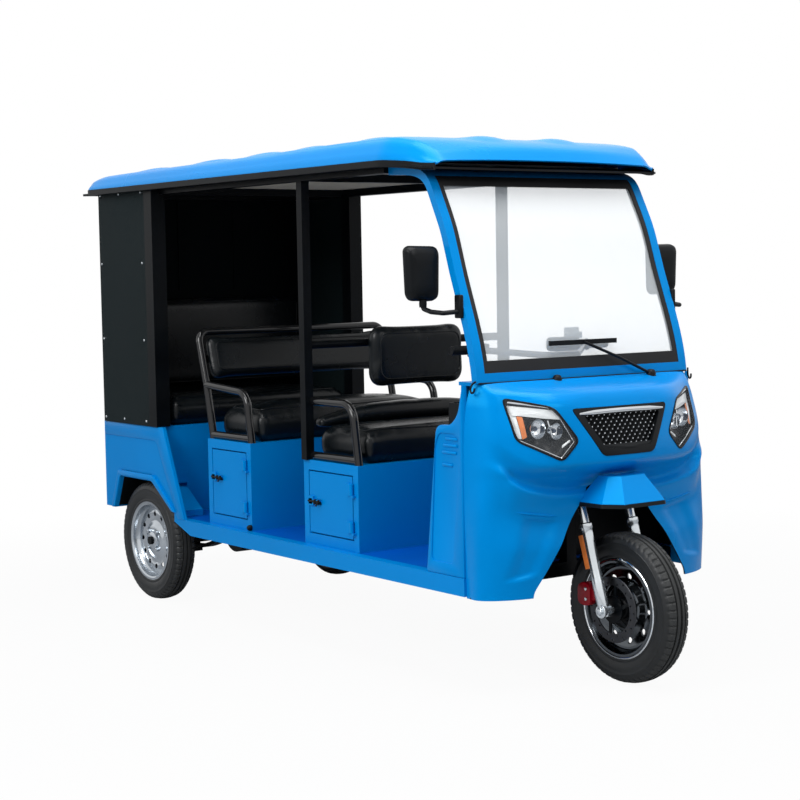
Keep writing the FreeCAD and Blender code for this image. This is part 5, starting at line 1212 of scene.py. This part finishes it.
def make_panel_rivets():
    """Rivets along the edges of the side panels."""
    dome = ((0.0001, 0.5238), (0.0055, 0.5238), (0.0050, 0.5260), (0.0030, 0.5274), (0.0001, 0.5278))
    edge, middle = (0.762, 1.10, 1.42, 1.712), (0.762, 1.712)
    places = [(x, z) for x, heights in ((-1.440, edge), (-1.270, middle), (-1.075, edge)) for z in heights]
    rivets = []
    for sign in (-1, 1):
        for x, z in places:
            rivets.append(turned("rivet", [(r, y * sign) for r, y in dome], (x, 0, z), 14))
    dress(joined("panel_rivets", rivets), "fork_metal", slot="frame_black")


def make_wheel_house_shades():
    """Black sheets under the roof and on the wall of each rear wheel arch: painted shade for the dark wheel
    well.
    """
    arch = [(-0.880, 0.378), (-0.880, 0.398), (-1.057, 0.512), (-1.333, 0.512), (-1.390, 0.378)]
    inner = [(-0.885, 0.378), (-0.885, 0.3945), (-1.058, 0.509), (-1.331, 0.509), (-1.387, 0.378)]
    band = [(x, z - 0.0004) for x, z in arch] + inner[::-1]
    roof = prism("arch_shade_sheet", band, "Y", -0.502, -0.388)
    wall = prism("arch_wall", inner, "Y", -0.388, -0.3855)
    dress(mirrored("wheel_house_shades", joined("wheel_house", [roof, wall])), "trim_black")


def make_latch(node, side, sign):
    """A black bolt on a box door."""
    low, high = (Vector(corner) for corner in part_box(node))
    x, y, z = low.x + 0.003, 0.4705, high.z - 0.109
    rod = [(0.0001, 0), (0.0042, 0), (0.0042, 0.078), (0.0001, 0.078)]
    parts = [turned("bolt", rod, (x, y + 0.0085, z), 16, "X")]
    plates = ((-0.001, 0.026, 0.0085, 0.012), (0.040, 0.049, 0.0145, 0.009), (0.064, 0.073, 0.0145, 0.009))
    for start, end, out, tall in plates:
        parts.append(block("staple", (x + start, y - 0.001, z - tall), (x + end, y + out, z + tall), 0.002))
    grip = [(x + 0.056, y + 0.008, z), (x + 0.056, y + 0.014, z - 0.016)]
    parts.append(tube("knob", grip, 0.003, 10, up=(1, 0, 0)))
    latch = joined(f"latch_{node.split('_')[0]}_{side}", parts)
    if sign < 0:
        flipped(latch)
    dress(latch, "trim_black", body=node)


def make_foot_caps():
    """The cap at the foot of the middle box, on both sides."""
    knob = [(0.0001, 0.470), (0.011, 0.470), (0.011, 0.480), (0.007, 0.486), (0.0001, 0.487)]
    caps = []
    for sign in (-1, 1):
        caps.append(turned("foot_cap", [(r, y * sign) for r, y in knob], (-0.345, 0, 0.388), 20))
    dress(joined("foot_caps", caps), "trim_black")


def make_door_stop(node, side, sign):
    """The turned-in edge of a box opening, close behind its door."""
    low, high = (Vector(corner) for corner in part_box(node))
    rings = []
    for level, wide in ((0.4455, 0.010), (0.4455, -0.012), (0.449, -0.012), (0.449, 0.010), (0.4455, 0.010)):
        corners = rectangle(low.x - wide, low.z - wide, high.x + wide, high.z + wide)
        rings.append([Vector((x, level * sign, z)) for x, z in corners])
    stop = loft(f"{node.split('_')[0]}_stop_{side}", rings, caps=False, sharp=20)
    dress(stop, "sheet_blue")


def make_door_fittings():
    doors = [(f"{name}_door_{side}", side, sign) for side, sign in SIDES for name in ("mid", "front")]
    for door in doors:
        make_latch(*door)
    make_foot_caps()
    for door in doors:
        make_door_stop(*door)


def make_tub_feet():
    """The sheet that closes each wheel tub down to the deck and up to the bench."""
    pieces = []
    for sign in (-1, 1):
        near, far = sorted((0.3790 * sign, 0.4715 * sign))
        for x, z, top in ((-0.882, 0.3755, 0.402), (-1.006, 0.500, 0.562)):
            pieces.append(block("tub_foot", (x, near, z), (x + 0.0075, far, top), 0.001, 1))
    dress(joined("tub_feet", pieces), "sheet_blue")


def make_screen_seam():
    """The dark joint between the foot of the windscreen arch and the nose."""
    path = [Vector((1.0715, -0.466 + 0.932 * k / 16, 1.0045)) for k in range(17)]
    dress(tube("screen_seam", path, 0.0026, 8, up=(1, 0, 0)), "trim_black")


def make_hooks():
    """A small hook at the foot of each pillar."""
    path = smooth_line([
        (1.070, -0.476, 1.012), (1.062, -0.484, 1.004), (1.058, -0.489, 0.988), (1.064, -0.490, 0.976),
        (1.073, -0.488, 0.980), (1.076, -0.486, 0.992),
    ])
    dress(mirrored("pillar_hooks", tube("pillar_hook", path, 0.0032, 10, up=(0, 1, 0))), "trim_black")


def make_holder():
    """The phone holder on the instrument pod."""
    stalk = [(0.935, 0.048, 1.118), (0.915, 0.068, 1.124), (0.902, 0.084, 1.130)]
    parts = [
        block("holder_back", (0.896, 0.052, 1.112), (0.906, 0.116, 1.166), 0.004),
        block("holder_clamp", (0.902, 0.110, 1.128), (0.920, 0.118, 1.150), 0.003),
        block("holder_clamp", (0.902, 0.050, 1.128), (0.920, 0.058, 1.150), 0.003),
        tube("holder_stalk", stalk, 0.006, 12),
    ]
    dress(joined("phone_holder", parts), "phone", body="steering")


# Fork and controls

# The fork's lean in degrees, the same as a slope, and each leg's distance from the middle
FORK_LEAN, FORK_SLOPE, LEG_OUT = 17.7, 0.31914, 0.104


def leg_foot(sign):
    return FRONT_AXLE + Vector((0, LEG_OUT * sign, 0))


def leg_turned(name, profile, sign):
    """A closed profile of (radius, along) turned about the leaned leg."""
    return leaned(turned(name, profile, (0, 0, 0), 32, "Z"), leg_foot(sign), FORK_LEAN)


def stem_spot(z):
    """The place on the steering axis at a height."""
    return Vector((1.218 - (z - FRONT_AXLE.z) * FORK_SLOPE, 0, z))


def make_fork_legs():
    """Sliders with their bosses and nuts, the bright tubes above them, and the axle."""
    sliders = []
    tubes = []
    for sign in (-1, 1):
        foot = leg_foot(sign)
        slider = [
            (0.0102, -0.020), (0.016, -0.020), (0.0205, -0.012), (0.0205, 0.100), (0.0190, 0.112),
            (0.0190, 0.255), (0.0193, 0.258), (0.0193, 0.272), (0.0220, 0.276), (0.0220, 0.290),
            (0.0180, 0.294), (0.0155, 0.294), (0.0152, 0.286), (0.0102, 0.280),
        ]
        sliders.append(leg_turned("slider", slider, sign))
        half = [(0.010, 0.019), (0.021, 0.019), (0.023, 0.017)]
        boss = [(r, -y) for r, y in half] + half[::-1]
        sliders.append(turned("boss", boss, foot, 32))
        ends = sorted((foot.y + 0.018 * sign, foot.y + 0.026 * sign))
        sliders.append(hex_nut("axle_nut", (foot.x, foot.z), 0.0125, *ends))
        stanchion = [(0.010, 0.20), (0.0150, 0.20), (0.0150, 0.372), (0.010, 0.372)]
        tubes.append(leg_turned("stanchion", stanchion, sign))
    axle = [(0.001, -LEG_OUT), (0.0100, -LEG_OUT), (0.0100, LEG_OUT), (0.001, LEG_OUT)]
    sliders.append(turned("axle", axle, FRONT_AXLE, 24))
    dress(joined("fork_legs", sliders + tubes), "fork_metal", "fork", body="steering")


def make_fork_yoke():
    lean = math.radians(FORK_LEAN)
    middle = stem_spot(FRONT_AXLE.z + 0.372 * math.cos(lean) - 0.03)
    plate = rounded_outline(rectangle(-0.045, -0.135, 0.075, 0.135), 0.03)
    yoke = leaned(prism("yoke", plate, "Z", 0, 0.028, 0.003), middle, FORK_LEAN)
    stem = tube("stem", [middle, stem_spot(1.064)], 0.0165, 24, up=(1, 0, 0))
    dress(joined("fork_yoke", [yoke, stem]), "frame_black", body="steering")


def make_fork_reflectors():
    """An amber strip on the outer face of each leg."""
    lean = math.radians(FORK_LEAN)
    up, fore = Vector((-math.sin(lean), 0, math.cos(lean))), Vector((math.cos(lean), 0, math.sin(lean)))
    strips = []
    for sign in (-1, 1):
        path = [
            leg_foot(sign) + up * along - fore * 0.015 + Vector((0, 0.0155 * sign, 0))
            for along in (0.145, 0.155, 0.247, 0.257)
        ]
        strips.append(sweep("reflector", path, rectangle(-0.010, -0.004, 0.010, 0.004), up=(0, sign, 0)))
    dress(joined("fork_reflectors", strips), "amber", slot="tail_red", body="steering")


def make_disc():
    centre = Vector((FRONT_AXLE.x, -0.066, FRONT_AXLE.z))
    ring = [(0.080, -0.002), (0.108, -0.002), (0.110, 0), (0.108, 0.002), (0.080, 0.002)]
    plate = turned("disc_ring", ring, centre)
    outer, inner = (places_round(centre, radius, 24) for radius in (0.1005, 0.0875))
    places = [(inner if k % 2 else outer)[k] for k in range(24)]
    drill(plate, places, 0.0036, 10, (-0.08, -0.05), 40)
    arms = [turned("disc_hub", rectangle(0.0102, -0.003, 0.046, 0.003), centre, 48)]
    for k in range(6):
        angle = 2 * math.pi * k / 6 + 0.2
        run = []
        for radius, turn in ((0.040, 0.0), (0.060, 0.12), (0.083, 0.16)):
            u, v = radius * math.cos(angle + turn), radius * math.sin(angle + turn)
            run.append(centre + Vector((u, 0, v)))
        section = rectangle(-0.006, -0.0018, 0.006, 0.0018)
        arms.append(sweep("disc_arm", smooth_line(run, 4), section, up=(0, 1, 0)))
    dress(plate, "disc_steel", "brake_disc", body="front_wheel")
    dress(joined("disc_carrier", arms), "frame_black", slot="trim_black", body="front_wheel")


BAR_BACK, BAR_ROOT, BAR_LEVEL = 0.7822, 0.9582, 1.098


def make_handlebar():
    half = [(BAR_BACK, 0.352, BAR_LEVEL), (BAR_BACK, 0.250, BAR_LEVEL), (BAR_ROOT, 0.060, 1.075)]
    route = [(x, -y, z) for x, y, z in half] + half[::-1]
    bar = tube("bar", filleted(route, 0.05, 8), 0.011)
    dress(bar, "tube_black", "handlebar", body="steering")
    grip = [(0.0105, 0.258), (0.0205, 0.258), (0.0205, 0.262), (0.0160, 0.266)]
    for k in range(14):
        y = 0.270 + 0.0055 * k
        grip += [(0.0160, y), (0.0148, y + 0.0015), (0.0148, y + 0.0032), (0.0160, y + 0.0045)]
    grip += [(0.0165, 0.349), (0.0150, 0.353), (0.0105, 0.353)]
    lever = ((0.018, 0.222, 1.098), (0.036, 0.234, 1.095), (0.038, 0.268, 1.088), (0.032, 0.304, 1.080))
    parts = []
    for sign in (-1, 1):
        parts.append(turned("grip", [(r, y * sign) for r, y in grip], (BAR_BACK, 0, BAR_LEVEL), 28))
        low = (BAR_BACK - 0.016, 0.222 * sign - 0.016, 1.083)
        high = (BAR_BACK + 0.030, 0.222 * sign + 0.016, 1.118)
        parts.append(block("perch", low, high, 0.006))
        run = [(BAR_BACK + ahead, y * sign, z) for ahead, y, z in lever]
        parts.append(sweep("lever", smooth_line(run), circle(0.0055, 10, 0.6)))
    dress(joined("grips_and_levers", parts), "trim_black", body="steering")
    pod = block("pod", (0.921, -0.056, 1.088), (0.983, 0.056, 1.136), 0.014, 4)
    dress(pod, "trim_black", "instrument_pod", body="steering")


def make_caliper():
    """The floating caliper on its arm, with two bolts."""
    outer = -0.099
    body = [(1.122, 0.262), (1.150, 0.250), (1.184, 0.258), (1.184, 0.322), (1.150, 0.334), (1.122, 0.318)]
    bridge = [(1.118, 0.268), (1.142, 0.262), (1.142, 0.318), (1.118, 0.314)]
    arm = [(1.170, 0.270), (1.246, 0.282), (1.246, 0.308), (1.170, 0.312)]
    parts = []
    for corners, radius, low, high, bevel in (
        (body, 0.014, outer, -0.0695, 0.004), (body, 0.014, -0.0625, -0.054, 0.002),
        (bridge, 0.006, -0.072, -0.058, 0.002), (arm, 0.008, -0.092, -0.084, 0.002),
    ):
        parts.append(prism("caliper", rounded_outline(corners, radius), "Y", low, high, bevel))
    bolts = []
    for place in ((1.166, 0.276), (1.166, 0.310)):
        bolts.append(hex_nut("caliper_bolt", place, 0.0065, outer - 0.004, outer + 0.002))
    dress(joined("caliper_parts", parts), "caliper_red", "brake_caliper", body="steering")
    dress(joined("caliper_bolts", bolts), "fork_metal", body="steering")


def make_mirrors():
    corners = [(0.479, 1.268), (0.600, 1.272), (0.607, 1.440), (0.590, 1.451), (0.486, 1.449), (0.475, 1.430)]
    outline = rounded_outline(corners, 0.030, 7)
    middle = Vector((0.541, 1.360))

    def shell(name, levels):
        """Rings of the mirror's outline, each at an x with a share of its size."""
        rings = []
        for x, share in levels:
            rings.append([Vector((x, *(middle + (spot - middle) * share))) for spot in outline])
        return loft(name, rings, sharp=40)

    housing = shell("mirror_shell", (
        (0.8615, 0.86), (0.8600, 0.93), (0.8605, 0.975), (0.864, 1.0), (0.876, 0.99), (0.888, 0.95),
        (0.896, 0.86), (0.8995, 0.70), (0.9005, 0.40),
    ))
    foot = block("mirror_foot", (0.972, 0.4690, 1.214), (1.006, 0.484, 1.290), 0.005)
    route = [
        (0.990, 0.478, 1.236), (0.978, 0.532, 1.232), (0.930, 0.545, 1.236), (0.882, 0.541, 1.246),
        (0.880, 0.541, 1.290),
    ]
    arm = tube("mirror_arm", filleted(route, 0.012, 6), 0.0080, 14)
    ring = [(0.007, -0.012), (0.012, -0.012), (0.013, 0), (0.012, 0.012), (0.007, 0.012)]
    collar = turned("mirror_collar", ring, (0.880, 0.540, 1.262), 24, "Z")
    black = mirrored("mirror_set", joined("mirror_left", [housing, foot, arm, collar]))
    dress(black, "trim_black", "mirrors")
    pane = shell("mirror_pane", ((0.8618, 0.84), (0.8595, 0.84), (0.8592, 0.5), (0.8592, 0.05)))
    dress(mirrored("mirror_glasses", pane), "mirror")


# Seats


def swell(piece, pressure, cap):
    """Blow a closed form up as cloth, with its movement held to a small swell."""
    cover = piece.modifiers.new("cover", "REMESH")
    cover.mode = "VOXEL"
    cover.voxel_size = 0.0085
    settle(piece)
    rest = [vert.co.copy() for vert in piece.data.vertices]
    cloth = piece.modifiers.new("swell", "CLOTH")
    how = cloth.settings
    how.quality = 4
    how.mass = 0.3
    how.tension_stiffness = how.compression_stiffness = 12
    how.bending_stiffness = 1.0
    how.use_pressure = True
    how.uniform_pressure_force = pressure
    how.effector_weights.gravity = 0
    last = 20
    cloth.point_cache.frame_start = 1
    cloth.point_cache.frame_end = last
    for moment in range(1, last + 1):
        scene.frame_set(moment)
    settle(piece)
    scene.frame_set(1)
    for vert, home in zip(piece.data.vertices, rest):
        move = vert.co - home
        if move.length > cap:
            move *= cap / move.length
        vert.co = home + move
    ease = piece.modifiers.new("ease", "SMOOTH")
    ease.factor = 0.5
    ease.iterations = 6
    settle(piece, 60)


def padding(node, margin, crown, pressure, cap):
    """A stuffed cushion in place of a CAD pad: a rounded form blown up as cloth."""
    low, high = (Vector(corner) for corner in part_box(node))
    inset = Vector((margin, margin, margin))
    piece = block(node + "_form", low + inset, high - inset, crown, 5)
    swell(piece, pressure, cap)
    return piece, low, high


def seam(piece, corners, radius, steps, start, axis):
    """Piping on a cushion: a rounded outline laid on it along an axis, from a start level."""
    form = bmesh.new()
    form.from_mesh(piece.data)
    tree = BVHTree.FromBMesh(form)
    form.free()
    toward = -placed(axis, 0, 0, 1)
    thick = 0.0026
    spots = []
    for u, v in dense(rounded_outline(corners, radius, steps), 0.02):
        hit = tree.ray_cast(placed(axis, u, v, start), toward)[0]
        if hit:
            spots.append(hit - toward * thick * 0.3)
    return sweep("seam", spots, circle(thick, 8), closed=True)


def make_pad(node, pad):
    """Let a finished cushion stand for its CAD pad."""
    dress(pad, "vinyl", node)


def crowned(piece, low, high, rise):
    """Raise the middle of a cushion's top."""
    middle, half = (low + high) / 2, (high - low) / 2
    for vert in piece.data.vertices:
        u = min(abs(vert.co.x - middle.x) / half.x, 1)
        v = min(abs(vert.co.y - middle.y) / half.y, 1)
        share = ramp(vert.co.z, low.z + half.z * 0.4, high.z)
        vert.co.z += rise * share * (1 - u * u) * (1 - v ** 4)
        vert.co.z = max(vert.co.z, low.z + 0.001)


def make_bolster():
    """The raised roll behind the driver's cushion, highest in the middle."""
    low, high = (Vector(corner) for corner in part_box("front_bolster"))
    half = high.y - 0.006
    top = []
    for k in range(25):
        y = -half + 2 * half * k / 24
        top.append((y, high.z + 0.006 - 0.052 * abs(y / half) ** 2.4))
    outline = [(-half, low.z + 0.004)] + top + [(half, low.z + 0.004)]
    outline = rounded_outline(outline[::-1], 0.03, 3)
    pad = prism("front_bolster_pad", outline, "X", low.x + 0.004, high.x - 0.004, 0.018)
    swell(pad, 3.0, 0.014)
    make_pad("front_bolster", pad)


def leaned_pad(node, middle, thick, wide, tall, lean, corner):
    """A rounded backrest, swollen as cloth upright and then leaned back."""
    shape = rounded_outline(rectangle(-wide / 2, -tall / 2, wide / 2, tall / 2), corner, 8)
    piece = prism("pad", shape, "X", -thick / 2 + 0.004, thick / 2 - 0.004, 0.018)
    round_edges(piece, 0.006, 3, 30)
    settle(piece, 60)
    swell(piece, 2.0, 0.008)
    half, rise = wide / 2 - 0.032, tall / 2 - 0.032
    line = seam(piece, rectangle(-half, -rise, half, rise), corner * 0.7, 6, 0.3, "X")
    make_pad(node, leaned(joined(node + "_pad", [piece, line]), middle, lean))


def make_seats():
    for node, rise in (("rear_cushion", 0.004), ("mid_cushion", 0.028), ("front_cushion", 0.010)):
        piece, low, high = padding(node, 0.004, 0.038, 4.0, 0.014)
        crowned(piece, low, high, rise)
        inset = 0.046
        corners = rectangle(low.x + inset, low.y + inset, high.x - inset, high.y - inset)
        line = seam(piece, corners, 0.03, 5, high.z + 0.2, "Z")
        make_pad(node, joined(node + "_pad", [piece, line]))
    piece, low, high = padding("rear_backrest", 0.006, 0.014, 2.5, 0.012)
    inset = 0.036
    corners = rectangle(low.y + inset, low.z + inset, high.y - inset, high.z - inset)
    line = seam(piece, corners, 0.03, 5, high.x + 0.2, "X")
    make_pad("rear_backrest", joined("rear_backrest_pad", [piece, line]))
    make_bolster()
    leaned_pad("driver_backrest", (0.110, 0, 1.053), 0.062, 0.436, 0.233, 0.0, 0.062)
    leaned_pad("mid_backrest", (-0.7215, 0, 1.0325), 0.052, 0.860, 0.178, 16.2, 0.040)


add_camera()
add_stage()
for key, nodes in NODE_MATERIALS.items():
    for node in nodes.split():
        paint(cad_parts[node], key)
for node in (SHEET_NODES + " floor_deck side_panels back_panel canopy_frame chassis_frame").split():
    soften(node)
soften("windscreen_arch", 0.009, 4)
soften("front_fender", 0.010, 4, 8)
for side, sign in SIDES:
    make_rear_wheel(side, sign)
make_front_wheel()
make_disc()
make_roof()
make_visor()
nose_face = make_nose()
make_front_trim(nose_face)
make_fork_legs()
make_fork_yoke()
make_fork_reflectors()
make_handlebar()
make_caliper()
make_mirrors()
make_wheel_liner()
make_leg_shields()
make_rear_creases()
make_panel_rivets()
make_wheel_house_shades()
make_door_fittings()
make_tub_feet()
make_screen_seam()
make_hooks()
make_holder()
make_seats()
